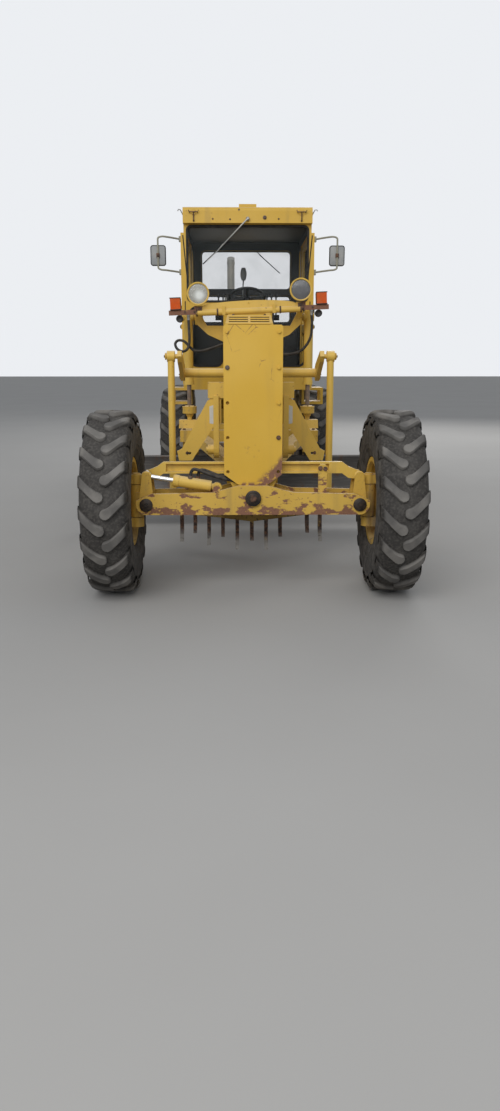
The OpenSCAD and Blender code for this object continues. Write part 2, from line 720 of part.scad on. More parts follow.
module lean_bar() {
    x = lean_x;
    z = lean_pin_z + lean_bar_rise;
    color(yellow) difference() {
        union() {
            plate_xz(lean_bar_y, [[-x, z - 32], [-x + 70, z - 26], [-x + 120, z + 10], [x - 120, z + 10], [x - 70, z - 26],
                [x, z - 32], [x, z + 32], [x - 70, z + 60], [x - 120, z + 96], [-x + 120, z + 96], [-x + 70, z + 60],
                [-x, z + 32]]);
            for (s = [-1, 1]) rod_y(lean_bar_y, [s * x, z], 32);
        }
        for (s = [-1, 1]) rod_y([lean_bar_y[0] - 1, lean_bar_y[1] + 1], [s * x, z], pin_small_r + fit);
        rod_y([lean_bar_y[0] - 1, lean_bar_y[1] + 1], lock_hole, 14);
        // Channel hollow along the front
        block([-x + 140, x - 220], [lean_bar_y[0] - 1, lean_bar_y[1] - 14], [z + 24, z + 82]);
    }
}

// The lean cylinder runs from its foot on the beam to the left housing's upper pin
lean_eye = [-lean_x, lean_pin_z + lean_bar_rise];
lean_dir = unit([lean_eye[0] - lean_base[0], 0, lean_eye[1] - lean_base[1]]);
lean_mid_y = (rod_eye_y[0] + rod_eye_y[1]) / 2;
lean_foot = [lean_base[0], lean_mid_y, lean_base[1]];
lean_len = norm([lean_eye[0] - lean_base[0], lean_eye[1] - lean_base[1]]);

module lean_barrel() {
    color(yellow) difference() {
        union() {
            rod_y(base_eye_y, lean_base, 36);
            strut(lean_foot, lean_foot + 60 * lean_dir, 24);
            strut(lean_foot + 45 * lean_dir, lean_foot + lean_barrel_len * lean_dir, lean_barrel_r);
        }
        rod_y(base_eye_y + [-1, 1], lean_base, pin_small_r + fit);
        strut(lean_foot + 90 * lean_dir, lean_foot + (lean_barrel_len + 1) * lean_dir, 18 + fit);
    }
}

module lean_rod() {
    tip = lean_foot + lean_len * lean_dir;
    color(chrome) difference() {
        union() {
            strut(lean_foot + 180 * lean_dir, tip - 30 * lean_dir, 18);
            rod_y(rod_eye_y, lean_eye, 40);
        }
        rod_y(rod_eye_y + [-1, 1], lean_eye, pin_small_r + 11);
    }
}

module knuckle(s) {
    kx = kingpin_x;
    caps = [[kingpin_z[1] + gap, kingpin_z[1] + gap + knuckle_cap_h],
        [kingpin_z[0] - gap - knuckle_cap_h, kingpin_z[0] - gap]];
    mirror([s < 0 ? 1 : 0, 0, 0]) color(yellow) difference() {
        union() {
            for (z = caps) {
                rod_z(z, [kx, 0], kingpin_boss_r);
                block([kx, kx + 85], [-45, 45], z);
            }
            block([kx + kingpin_boss_r + gap, kx + 95], [-60, 60], [caps[1][0], caps[0][1]]);
            rod_z([caps[1][0], caps[0][1] + 8], [kx, 0], kingpin_r);
            rod_x([kx + 70, front_track / 2 + 110], [0, wheel_z], spindle_r);
            // Steering arm to the rear
            plate_xy([tie_z - tie_arm_t, tie_z + tie_arm_t], [[kx - 35, 0], [kx + 35, 0], [kx + 24, steer_arm],
                [kx - 24, steer_arm]]);
            rod_z([tie_z - tie_arm_t, tie_z + tie_arm_t], [kx, steer_arm], tie_boss_r);
            if (s > 0) translate([kx, steer_arm, 0]) tie_stud();
        }
        if (s < 0) rod_z([tie_z - tie_arm_t - 1, tie_z + tie_arm_t + 1], [kx, steer_arm], 14 + fit);
    }
}

// A flat outline of [X, Y] points, from one Z to another
module plate_xy(z, points) {
    translate([0, 0, z[0]]) linear_extrude(z[1] - z[0]) polygon(points);
}

module tie_stud() {
    rod_z([tie_z - tie_arm_t, tie_rod_z], [0, 0], 14);
    translate([0, 0, tie_rod_z]) sphere(r = tie_ball_r);
}

module tie_rod_end() {
    color(worn_steel) translate([-kingpin_x, steer_arm, 0]) union() tie_stud();
}

module tie_rod() {
    x = kingpin_x;
    color(worn_steel) difference() {
        union() {
            rod_x([-x + 40, x - 40], [steer_arm, tie_rod_z], 18);
            for (s = [-1, 1]) rod_x([s * x - 46, s * x + 46], [steer_arm, tie_rod_z], tie_boss_r);
        }
        // Ball sockets, open below so that the studs can lean
        for (s = [-1, 1]) translate([s * x, steer_arm, tie_rod_z])
            block([-32, 32], [-16, 16], [-40, 0]);
        translate([-x, steer_arm, tie_rod_z]) sphere(r = tie_ball_r + fit);
        // The +X socket is long, because leaning draws the two balls together
        rod_x([x - tie_slide - tie_ball_r, x + tie_slide + tie_ball_r], [steer_arm, tie_rod_z], tie_ball_r + 1);
    }
}

// Wheels

module carcass() {
    half = tyre_w / 2;
    rotate([0, 90, 0]) rotate_extrude() polygon([
        [bead_r + seat_gap, -half + 48], [bead_r + 32, -half + 48], [bead_r + 40, -half + 24], [bead_r + 110, -half + 4],
        [bead_r + 175, -half], [bead_r + 260, -half + 6], [tread_r - 42, -half + 16], [tread_r - 14, -half + 42],
        [tread_r, -half + 80], [tread_r, half - 80], [tread_r - 14, half - 42], [tread_r - 42, half - 16],
        [bead_r + 260, half - 6], [bead_r + 175, half], [bead_r + 110, half - 4], [bead_r + 40, half - 24],
        [bead_r + 32, half - 48], [bead_r + seat_gap, half - 48]]);
}

// One lug seen from outside: X from the middle to the shoulder, Y along the tread
module lug() {
    half = tyre_w / 2;
    linear_extrude(lug_h + 60) polygon([[-8, -66], [24, -78], [half, -8], [half, 74], [20, 6], [-8, -20]]);
}

module tyre() {
    half = tyre_w / 2;
    color(rubber) union() {
        carcass();
        intersection() {
            for (s = [0, 1], i = [0:lug_count - 1])
                rotate([(i + s / 2) * 360 / lug_count, 0, 0]) translate([0, 0, tread_r - 45])
                    mirror([s, 0, 0]) lug();
            rotate([0, 90, 0]) rotate_extrude() polygon([[bead_r, -half + 3], [tread_r - 20, -half + 3],
                [tyre_r, -half + 38], [tyre_r, half - 38], [tread_r - 20, half - 3], [bead_r, half - 3]]);
        }
    }
}

// A rim with its disc: out is the side of the disc that faces away from the machine
module rim(dish, hub_in, hub_out) {
    half = tyre_w / 2 - 48;
    r = bead_r;
    color(yellow) rotate([0, 90, 0]) difference() {
        rotate_extrude() polygon([[spindle_r + fit, hub_in], [108, hub_in], [112, dish - 10], [r - 60, dish - 30],
            [r - 22, dish - 40], [r - 18, -half + 10], [r - 6, -half - 16], [r + 28, -half - 16],
            [r + 28, -half], [r, -half], [r, half], [r + 28, half], [r + 28, half + 16], [r - 6, half + 16],
            [r - 18, half - 10], [r - 20, dish + 10], [r - 60, dish - 8], [130, dish + 12], [118, hub_out - 16],
            [100, hub_out], [spindle_r + fit, hub_out]]);
        for (a = [0:36:324]) rotate([0, 0, a]) translate([185, 0, dish - 60]) cylinder(r = 22, h = 120);
    }
}

module at_wheel(x, y, s) {
    translate([s * x, y, wheel_z]) mirror([s < 0 ? 1 : 0, 0, 0]) children();
}

// Drawbar, circle and blade

module drawbar() {
    z = drawbar_z;
    color(yellow) difference() {
        union() {
            rod_y([ball_at[0] - 62, ball_at[0] + 84], [0, ball_at[1]], 88);
            both_sides() {
                bar([40, ball_at[0] + 50, ball_at[1] + 4], [lift_x - 85, 2010, 1004], 110, 90);
                block([lift_x - 75, lift_x + 75], [1950, 2960], z);
                // Bracket and ball plate under each lift cylinder
                plate_yz([lift_x - 105, lift_x + 105], [[lift_y - 110, z[1]], [lift_y + 110, z[1]],
                    [lift_y + 60, 1140], [lift_y - 60, 1140]]);
                translate([lift_x, lift_y, lift_pin_z]) sphere(r = lift_ball_r);
                rod_z([1120, lift_pin_z + lift_ball_r + 3], [lift_x, lift_y], 24);
            }
            for (y = [[1960, 2090], [2840, 2960]]) block([-lift_x, lift_x], y, z);
            // Circle drive housing and its pinion shaft
            block([-120, 120], [2000, 2180], [z[0], z[1] + 60]);
            rod_z([circle_z[0], z[0] + 5], [0, circle_y - circle_r + circle_w + 48 + gap], 48);
        }
        translate([0, ball_at[0], ball_at[1]]) sphere(r = 60 + fit);
        // Mouth of the socket, towards the neck of the ball
        rod_z([ball_at[1], ball_at[1] + 100], [0, ball_at[0]], 54);
    }
    // Shoes that hold the circle's edge
    color(yellow) both_sides() for (y = [-1, 1])
        translate([lift_x - 10, circle_y + y * 415, 0]) difference() {
            block([-55, 65], [-50, 50], [circle_z[0] - 30, z[0]]);
            translate([10 - lift_x, -y * 415, 0])
                rod_z([circle_z[0] - seat_gap, z[0] + 1], [0, 0], circle_r + gap);
        }
}

module circle_ring() {
    z = circle_z;
    inner = circle_r - circle_w;
    color(worn_steel) difference() {
        union() {
            rod_z(z, [0, circle_y], circle_r);
            // Blade arms below the ring
            both_sides() block([400, 500], [circle_y - 395, circle_y + 395], [z[0] - 70, z[0]]);
            both_sides() plate_yz([400, 500], [[circle_y + 50, z[0] - 60], [circle_y + 330, z[0] - 60],
                [circle_y + 260, 420], [circle_y + 190, 290], [circle_y + 118 + seat_gap, 290],
                [circle_y + 118 + seat_gap, 650]]);
        }
        rod_z([z[0], z[1] + 1], [0, circle_y], inner);
        rod_z([z[0] - 71, z[0] + 1], [0, circle_y], 330);
    }
}

// Section of the blade as an arc, bulging to the rear, as [Y, Z] from the cutting edge
blade_r = 520;
blade_span = 2 * asin(blade_h / 2 / blade_r);
function blade_arc(r, a0, a1, n = 24) = [for (i = [0:n]) let (a = a0 + (a1 - a0) * i / n)
    [circle_y + 110 - blade_r + r * cos(a), blade_z0 + blade_h / 2 + r * sin(a)]];

module blade() {
    a = blade_span / 2;
    color(worn_steel) union() {
        plate_yz([-blade_half, blade_half], concat(blade_arc(blade_r, -a + 10, a), blade_arc(blade_r - blade_t, a, -a + 10)));
        // Rails along the back
        for (z = [blade_z0 + 190, blade_z0 + 470])
            block([-700, 700], [circle_y + 84, circle_y + 118], [z - 28, z + 28]);
    }
}

module cutting_edge() {
    a = blade_span / 2;
    color(worn_steel) plate_yz([-blade_half, blade_half],
        concat(blade_arc(blade_r - blade_t - seat_gap, -a, -a + 22, 10),
            blade_arc(blade_r - blade_t - 18, -a + 22, -a, 10)));
}

module lift_barrels() {
    color(yellow) both_sides() difference() {
        union() {
            rod_z([barrel_low_z, trunnion_z + 60], [lift_x, lift_y], lift_r);
            rod_z([barrel_low_z, barrel_low_z + 40], [lift_x, lift_y], lift_r + 6);
            rod_x([lift_x - lift_r - 8, lift_x + lift_r + 8], [lift_y, trunnion_z], 40);
        }
        rod_x([lift_x - lift_r - 14, lift_x - lift_r + 10], [lift_y, trunnion_z], 22 + fit);
        rod_z([barrel_low_z - 1, trunnion_z - 60], [lift_x, lift_y], 22 + fit);
    }
}

module lift_rods() {
    color(chrome) both_sides() union() {
        rod_z([lift_pin_z + lift_cup_r + lift_cup_t / 2, barrel_low_z + 210], [lift_x, lift_y], 22);
        // Cup over the ball
        difference() {
            rod_z([lift_pin_z + 4, lift_pin_z + lift_cup_r + lift_cup_t], [lift_x, lift_y], lift_cup_r + lift_cup_t);
            translate([lift_x, lift_y, lift_pin_z]) sphere(r = lift_cup_r);
        }
    }
}

// Scarifier

module scarifier_beam() {
    s = scar_half;
    back = scar_pin[0] - 50;
    apex = 430;
    leg = (back - apex) / s;
    color(rust) union() {
        difference() {
            plate_xy(beam_z, [[0, apex - 60], [s + 30, back - 60 + 30 * leg], [s + 30, back + 60], [s, back + 60],
                [0, apex + 60], [-s, back + 60], [-s - 30, back + 60], [-s - 30, back - 60 + 30 * leg]]);
            for (i = [-5:5]) translate([i * tooth_pitch, apex + abs(i) * tooth_pitch * leg, 0])
                block([-shank_t / 2 - 1, shank_t / 2 + 1], [-shank_d / 2 - 1, shank_d / 2 + 1], [beam_z[0] - 1, beam_z[1] + 1]);
        }
        // Teeth, counted from the -X side; the ninth is missing
        for (i = [-5:5]) if (i != 3) translate([i * tooth_pitch, apex + abs(i) * tooth_pitch * leg, 0])
            tooth((i + 5) % 2 == 0 ? tooth_long_z : tooth_short_z);
        both_sides() {
            // Cheek and pin for the lift link, and the drag arm
            plate_yz([s + 10, s + 34], [[back - 30, beam_z[0]], [back + 90, beam_z[0] + 10], [back + 90, scar_pin[1] + 34],
                [back + 10, scar_pin[1] + 34], [back - 60, beam_z[1]]]);
            rod_x([s + 20, link_x + 42], scar_pin, pin_small_r);
            difference() {
                union() {
                    plate_yz([half_frame + gap, half_frame + 56], [[scar_hinge[0] - 20, scar_hinge[1] - 40],
                        [540, beam_z[0] + 20], [640, beam_z[0] + 20], [640, beam_z[1]], [scar_hinge[0] + 20, scar_hinge[1] + 40]]);
                    rod_x([half_frame + gap, half_frame + 56], scar_hinge, 46);
                }
                rod_x([half_frame, half_frame + 60], scar_hinge, 25 + fit);
            }
        }
    }
}

module tooth(tip_z) {
    t = shank_t / 2;
    d = shank_d / 2;
    plate_yz([-t, t], [[-d, beam_z[1] + 55], [-d, tip_z + 150], [-d - 12, tip_z + 60], [-d - 45, tip_z],
        [-d - 20, tip_z + 4], [d - 10, tip_z + 70], [d, tip_z + 150], [d, beam_z[1] + 55]]);
    block([-t - 1, t + 1], [-d - 1, d + 1], [beam_z[1] - 60, beam_z[1] - 40]);
}

module scarifier_levers() {
    color(yellow) union() {
        rod_x([-600, 600], shaft_at, cross_shaft_r);
        both_sides() {
            plate_yz([580, 616], [[shaft_at[0] + 62, shaft_at[1] - 30], [shaft_at[0] + 62, shaft_at[1] + 40],
                [shaft_at[0], shaft_at[1] + 75], [lever_tip[0], lever_tip[1] + 45], [lever_tip[0] - 45, lever_tip[1]],
                [lever_tip[0], lever_tip[1] - 45], [shaft_at[0] - 20, shaft_at[1] - 70], [shaft_at[0] + 20, shaft_at[1] - 70]]);
            rod_x([610, link_x + 42], lever_tip, pin_small_r);
        }
    }
}

module scarifier_links() {
    top = [link_x, lever_tip[0], lever_tip[1]];
    low = [link_x, scar_pin[0], scar_pin[1]];
    dir = unit(low - top);
    color(yellow) both_sides() difference() {
        union() {
            rod_x([link_x - 32, link_x + 32], lever_tip, 46);
            rod_x([link_x - 32, link_x + 32], scar_pin, 62);
            strut(top + 30 * dir, low - 55 * dir, link_r);
        }
        rod_x([link_x - 33, link_x + 33], lever_tip, pin_small_r + fit);
        rod_x([link_x - 33, link_x + 33], scar_pin, pin_small_r + 26);
    }
}

// Engine end

module rear_frame() {
    y0 = hitch_y + 260;
    color(yellow) difference() {
        union() {
            // Tongue between the hitch ears
            block([-150, 150], [hitch_y, y0], [1150 + gap, floor_z - 50 - gap]);
            rod_z([1150 + gap, floor_z - 50 - gap], [0, hitch_y], 118);
            block([-300, 300], [y0 - 60, y0 + 60], [940, 1360]);
            both_sides() {
                block([290, 380], [y0 - 60, rear_y - 150], [940, 1120]);
                block([340, art_rear[0]], [art_rear[1] - 62, art_rear[1] + 62], [1090, art_z - 50]);
                rod_z([1090, art_z - 35], art_rear, 62);
            }
            // Bumper and tow hitch
            plate_xy([760, 1240], concat([[-560, rear_y - 160], [560, rear_y - 160]],
                arc_at([500, rear_y - 60], 60, 0), arc_at([-500, rear_y - 60], 60, 90)));
            block([-90, 90], [rear_y - 400, rear_y - 150], [940, 1000]);
        }
        rod_z([1150, floor_z], [0, hitch_y], hitch_pin_r + fit);
        both_sides() rod_z([1089, art_z], art_rear, 42);
        block([-80, 80], [rear_y - 120, rear_y + 1], [900, 1010]);
        rod_z([759, 1241], [0, rear_y - 60], 26);
    }
}

module tandem_cases() {
    r = 240;
    color(yellow) {
        both_sides() union() {
            plate_yz([500, 700], concat(
                [for (a = [90:15:270]) [tandem_y[0], wheel_z] + r * [cos(a), sin(a)]],
                [for (a = [-90:15:90]) [tandem_y[1], wheel_z] + r * [cos(a), sin(a)]]));
            for (y = tandem_y) {
                rod_x([695, rear_track / 2 + 130], [y, wheel_z], spindle_r);
                rod_x([695, rear_track / 2 - 120], [y, wheel_z], 90);
            }
        }
        // Axle housing between the cases, and its saddles under the frame rails
        union() {
            rod_x([-500 + seat_gap, 500 - seat_gap], [wheelbase, wheel_z + 40], 150);
            both_sides() block([300, 380], [wheelbase - 130, wheelbase + 130], [800, 940 - seat_gap]);
        }
    }
}

module engine_block() {
    color(worn_steel) union() {
        block([-260, 260], engine_y, [1160, hood_z - 200]);
        block([-340, 340], engine_y + [100, -200], [1120 + seat_gap, 1170]);
    }
}

module engine_hood() {
    x = hood_w / 2;
    y = [hitch_y + 580, rear_y - 220];
    color(yellow) difference() {
        plate_xz(y, concat([[-x, 1120 + seat_gap], [x, 1120 + seat_gap]], arc_at([x - 60, hood_z - 60], 60, 0),
            arc_at([-x + 60, hood_z - 60], 60, 90)));
        plate_xz(y + [30, 30], concat([[-x + 25, 1119], [x - 25, 1119]], arc_at([x - 70, hood_z - 70], 45, 0),
            arc_at([-x + 70, hood_z - 70], 45, 90)));
        // Side louvres
        for (i = [0:6], s = [-1, 1]) translate([s * x, engine_y[0] + 250 + i * 110, 0])
            block([-40, 40], [0, 50], [1350, hood_z - 210]);
    }
}

module radiator_grille() {
    x = hood_w / 2 - 40;
    y = rear_y - 220;
    color(black) difference() {
        block([-x - 15, x + 15], [y - 60, y - 10], [1130, hood_z - 75]);
        for (i = [0:11]) block([-x + 30, x - 30], [y - 61, y - 9], [1170 + i * 65, 1210 + i * 65]);
    }
}

module exhaust_stack() {
    z = hood_z + seat_gap;
    color(worn_steel) union() {
        rod_z([z, z + 20], [-200, engine_y[1]], 110);
        rod_z([z + 10, z + 640], [-200, engine_y[1]], 100);
        rod_z([z + 630, stack_z], [-200, engine_y[1]], stack_r);
        rod_z([z, z + 380], [200, engine_y[1] - 600], 60);
        rod_z([z + 370, z + 560], [200, engine_y[1] - 600], 105);
    }
}

art_dir = unit([art_rear[0] - art_front[0], art_rear[1] - art_front[1], 0]);
art_foot = [art_front[0], art_front[1], art_z];

module articulation_barrel(s) {
    mirror([s < 0 ? 1 : 0, 0, 0]) color(yellow) difference() {
        union() {
            rod_z([art_z - 50 + seat_gap, art_z + 50 - seat_gap], art_front, 48);
            strut(art_foot + 30 * art_dir, art_foot + 760 * art_dir, 45);
        }
        rod_z([art_z - 60, art_z + 60], art_front, 25 + fit);
        strut(art_foot + 120 * art_dir, art_foot + 761 * art_dir, 22 + fit);
    }
}

module articulation_rod(s) {
    tip = [art_rear[0], art_rear[1], art_z];
    mirror([s < 0 ? 1 : 0, 0, 0]) color(chrome) union() {
        strut(art_foot + 560 * art_dir, tip - 20 * art_dir, 22);
        rod_z([art_z - 28, art_z + 28], art_rear, 42);
        rod_z([art_z - 110, art_z], art_rear, 20);
    }
}

at_origin() main_frame();
at_origin() nose_plate();
at_origin() axle_beam();
at_origin() scarifier_hanger();
at_origin() valve_cover();
at_origin() lift_saddle();
at_origin() light_bar();
at_origin() lamps();
at_origin() cab_floor();
at_origin() cab_frame();
at_origin() cab_roof();
at_origin() cab_glass();
at_origin() seat_pad();
at_origin() cab_fittings();
at_origin() mirrors();
at_origin() hoses();
at_origin() door(-1);  // door_left
at_origin() door(1);  // door_right
at_origin() door_glass(-1);  // door_glass_left
at_origin() door_glass(1);  // door_glass_right
at_origin() lean_housing(-1);  // lean_housing_left
at_origin() lean_housing(1);  // lean_housing_right
at_origin() lean_bar();
at_origin() lean_barrel();
at_origin() lean_rod();
at_origin() knuckle(-1);  // knuckle_left
at_origin() knuckle(1);  // knuckle_right
at_origin() tie_rod_end();
at_origin() tie_rod();
at_origin() at_wheel(front_track / 2, 0, -1) tyre();  // tyre_front_left
at_origin() at_wheel(front_track / 2, 0, 1) tyre();  // tyre_front_right
at_origin() at_wheel(rear_track / 2, tandem_y[0], -1) tyre();  // tyre_mid_left
at_origin() at_wheel(rear_track / 2, tandem_y[0], 1) tyre();  // tyre_mid_right
at_origin() at_wheel(rear_track / 2, tandem_y[1], -1) tyre();  // tyre_rear_left
at_origin() at_wheel(rear_track / 2, tandem_y[1], 1) tyre();  // tyre_rear_right
at_origin() at_wheel(front_track / 2, 0, -1) rim(50, -60, 100);  // rim_front_left
at_origin() at_wheel(front_track / 2, 0, 1) rim(50, -60, 100);  // rim_front_right
at_origin() at_wheel(rear_track / 2, tandem_y[0], -1) rim(50, -110, 120);  // rim_mid_left
at_origin() at_wheel(rear_track / 2, tandem_y[0], 1) rim(50, -110, 120);  // rim_mid_right
at_origin() at_wheel(rear_track / 2, tandem_y[1], -1) rim(50, -110, 120);  // rim_rear_left
at_origin() at_wheel(rear_track / 2, tandem_y[1], 1) rim(50, -110, 120);  // rim_rear_right
at_origin() drawbar();
at_origin() lift_barrels();
at_origin() lift_rods();
at_origin() circle_ring();  // circle
at_origin() blade();
at_origin() cutting_edge();
at_origin() scarifier_beam();
at_origin() scarifier_levers();
at_origin() scarifier_links();
at_origin() rear_frame();
at_origin() tandem_cases();
at_origin() engine_block();
at_origin() engine_hood();
at_origin() radiator_grille();
at_origin() exhaust_stack();
at_origin() articulation_barrel(-1);  // articulation_barrel_left
at_origin() articulation_barrel(1);  // articulation_barrel_right
at_origin() articulation_rod(-1);  // articulation_rod_left
at_origin() articulation_rod(1);  // articulation_rod_right
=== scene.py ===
# %% [markdown]
# # Dressing a worn motor grader
#
# The machine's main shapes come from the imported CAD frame, one object for each part.
# This lesson gives them paint, rust, rubber and glass, swaps the plain tyres, lamps,
# mirrors, hoses and seat for detailed ones, and adds the small things that a plain
# frame lacks: bolts, gaskets, wipers, hydraulic lines and handrails.

# %% Load the frame
import json
import math

import bmesh
import bpy
from mathutils import Matrix, Vector

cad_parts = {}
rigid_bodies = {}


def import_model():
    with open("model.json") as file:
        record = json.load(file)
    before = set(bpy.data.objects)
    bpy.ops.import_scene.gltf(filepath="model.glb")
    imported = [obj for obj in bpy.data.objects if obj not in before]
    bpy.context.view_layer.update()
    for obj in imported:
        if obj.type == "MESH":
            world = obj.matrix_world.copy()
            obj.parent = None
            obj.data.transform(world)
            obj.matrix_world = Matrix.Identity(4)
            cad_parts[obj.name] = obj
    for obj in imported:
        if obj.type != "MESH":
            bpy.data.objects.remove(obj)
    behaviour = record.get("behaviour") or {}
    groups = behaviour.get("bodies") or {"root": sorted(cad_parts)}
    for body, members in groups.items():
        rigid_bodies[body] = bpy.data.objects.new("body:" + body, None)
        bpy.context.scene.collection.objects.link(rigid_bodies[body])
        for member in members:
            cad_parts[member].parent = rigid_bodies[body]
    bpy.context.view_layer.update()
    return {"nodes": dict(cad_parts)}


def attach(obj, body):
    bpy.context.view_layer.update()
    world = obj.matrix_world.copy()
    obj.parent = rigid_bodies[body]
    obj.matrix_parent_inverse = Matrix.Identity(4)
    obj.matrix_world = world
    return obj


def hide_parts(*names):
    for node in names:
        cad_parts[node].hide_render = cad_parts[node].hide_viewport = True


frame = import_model()
nodes = frame["nodes"]
AXLE = -3.4875  # Y of the front axle, from which the machine is measured backwards
TYRE_R = 0.685  # Radius over the lugs, and the height of every axle
FRONT, BACK, SIDE = 2.95, 4.42, 0.70  # The cab's walls, behind the axle and from the middle


def at(x, behind, z):
    """A point given by its distance behind the front axle."""
    return Vector((x, AXLE + behind, z))


# %% [markdown]
# ## Camera and light
#
# The photograph was taken standing up, a few metres ahead of the nose, with a phone
# held upright and tipped down by about 13 degrees. A camera is best placed by numbers
# that were fitted to known sizes, here the tyres, and not by eye. A grey day is a large
# soft light from above, so the world gives most of the light and two wide area lamps
# the rest. The world has two backgrounds: the lighting one is dimmer, and the one that
# is seen directly, in metal and through glass is pale, so the object isn't bleached.

# %% Camera and light
camera = bpy.data.objects.new("camera", bpy.data.cameras.new("camera"))
bpy.context.scene.collection.objects.link(camera)
camera.location = (-0.12, -9.76, 1.72)
camera.rotation_euler = (math.radians(90 - 13.12), 0, math.radians(-0.9))
camera.data.lens = 27.0
camera.data.sensor_width = 36.0
bpy.context.scene.camera = camera
bpy.context.scene.view_settings.view_transform = "Standard"


def area_lamp(name, place, aim, size, watts):
    """A square soft lamp at one point that shines at another."""
    lamp = bpy.data.objects.new(name, bpy.data.lights.new(name, "AREA"))
    lamp.data.size, lamp.data.energy = size, watts
    lamp.location = place
    lamp.rotation_euler = (Vector(aim) - Vector(place)).to_track_quat("-Z", "Y").to_euler()
    bpy.context.scene.collection.objects.link(lamp)


area_lamp("sky_front", (-3, -13, 9), (0, -1, 1.2), 9, 1150)
area_lamp("sky_rear", (5, 11, 9), (0, 1, 1.5), 9, 900)

world = bpy.data.worlds.new("world")
bpy.context.scene.world = world
world.use_nodes = True
sky_nodes, sky_links = world.node_tree.nodes, world.node_tree.links
lighting = sky_nodes["Background"]
lighting.inputs["Color"].default_value = (0.80, 0.85, 0.92, 1)
lighting.inputs["Strength"].default_value = 0.62
seen = sky_nodes.new("ShaderNodeBackground")
seen.inputs["Color"].default_value = (0.84, 0.86, 0.89, 1)
rays = sky_nodes.new("ShaderNodeLightPath")
direct, looked_at = sky_nodes.new("ShaderNodeMath"), sky_nodes.new("ShaderNodeMath")
direct.operation = looked_at.operation = "MAXIMUM"
choose = sky_nodes.new("ShaderNodeMixShader")
for source, target in (
        (rays.outputs["Is Camera Ray"], direct.inputs[0]),
        (rays.outputs["Is Transmission Ray"], direct.inputs[1]),
        (direct.outputs[0], looked_at.inputs[0]),
        (rays.outputs["Is Glossy Ray"], looked_at.inputs[1]),
        (looked_at.outputs[0], choose.inputs[0]),
        (lighting.outputs[0], choose.inputs[1]),
        (seen.outputs[0], choose.inputs[2]),
        (choose.outputs[0], sky_nodes["World Output"].inputs["Surface"])):
    sky_links.new(source, target)
print("lights:", [lamp.name for lamp in bpy.data.lights])

# %% [markdown]
# ## Maths on sockets
#
# A pattern such as "rust where two noises are both high" is plain arithmetic. It could
# be wired node by node, which is long and hard to follow. Wrapping a socket in a class
# with operators keeps it readable instead: each operator adds one Math node.

# %% Maths on sockets


class Value:
    """A node's output that can be added to, multiplied by and compared."""

    def __init__(self, finish, socket):
        self.finish, self.socket = finish, socket

    def _math(self, operation, *terms):
        return self.finish.node("ShaderNodeMath", {"operation": operation}, *terms)

    def __add__(self, other):
        return self._math("ADD", self, other)

    def __sub__(self, other):
        return self._math("SUBTRACT", self, other)

    def __rsub__(self, other):
        return self._math("SUBTRACT", other, self)

    def __mul__(self, other):
        return self._math("MULTIPLY", self, other)

    def __pow__(self, other):
        return self._math("POWER", self, other)

    def __abs__(self):
        return self._math("ABSOLUTE", self)

    def __gt__(self, other):
        return self._math("GREATER_THAN", self, other)

    def __lt__(self, other):
        return self._math("LESS_THAN", self, other)

    __radd__, __rmul__ = __add__, __mul__

    def most(self, other):
        """The larger of two masks, where either one is enough."""
        return self._math("MAXIMUM", self, other)

    def rise(self, low, high):
        """0 below low, 1 above high, and smooth between; low may be the larger."""
        smooth = {"interpolation_type": "SMOOTHSTEP"}
        return self.finish.node("ShaderNodeMapRange", smooth, self, low, high, 0.0, 1.0)


# %% [markdown]
# ## Finishes
#
# A finish is one material, and all of them need the same few things: noise, a mix of
# two colours, an axis and a bump. Methods for these keep the finishes short. Colours
# are mixed with Mix nodes, because a Math node would turn them grey, and patterns read
# Object coordinates, so they keep their size on every piece.

# %% Finishes


class Finish:
    """One material: its shader, and a method that adds any other node."""

    def __init__(self, name, **shader):
        self.material = bpy.data.materials.new(name)
        self.material.use_nodes = True
        self.tree = self.material.node_tree
        self.shader = self.tree.nodes["Principled BSDF"]
        self.place = self.node("ShaderNodeTexCoord", out="Object")
        self.facing = self.node("ShaderNodeTexCoord", out="Normal")
        self.set(**shader)

    def node(self, kind, settings=None, *terms, out=0, **named):
        """Any node: its settings first, then its inputs by number or by name."""
        made = self.tree.nodes.new(kind)
        for key, value in (settings or {}).items():
            setattr(made, key, value)
        for key, term in [*enumerate(terms), *named.items()]:
            self.feed(made.inputs[key], term)
        return Value(self, made.outputs[out])

    def feed(self, socket, term):
        if isinstance(term, Value):
            self.tree.links.new(term.socket, socket)
        elif term is not None:
            socket.default_value = term

    def set(self, **shader):
        """Feeds the shader's own sockets, whose spaces are written as underscores."""
        for key, term in shader.items():
            self.feed(self.shader.inputs[key.replace("_", " ")], opaque(term))
        return self

    def axis(self, name, vector=None):
        return self.node("ShaderNodeSeparateXYZ", None, vector or self.place, out=name)

    def noise(self, scale, detail=4.0, stretch=(1, 1, 1), shift=0.0):
        """Noise over the object; a shift gives each finish its own part of the pattern."""
        away = (shift, shift * 0.7, -shift)
        moved = self.node("ShaderNodeMapping", None, self.place, away, (0, 0, 0), stretch)
        return self.node("ShaderNodeTexNoise", None, Vector=moved, Scale=float(scale),
                         Detail=float(detail))

    def mix(self, share, a, b):
        """From colour a, where the share is 0, to colour b, where it is 1."""
        made = self.tree.nodes.new("ShaderNodeMix")
        made.data_type = "RGBA"
        for i, term in ((0, share), (6, a), (7, b)):
            self.feed(made.inputs[i], opaque(term))
        return Value(self, made.outputs[2])

    def bump(self, height, strength, depth=0.004):
        made = self.node("ShaderNodeBump", None, Strength=strength, Distance=depth, Height=height)
        return self.set(Normal=made)


def opaque(term):
    """A colour with its alpha added; anything else as it is."""
    return (*term[:3], 1.0) if isinstance(term, tuple) else term


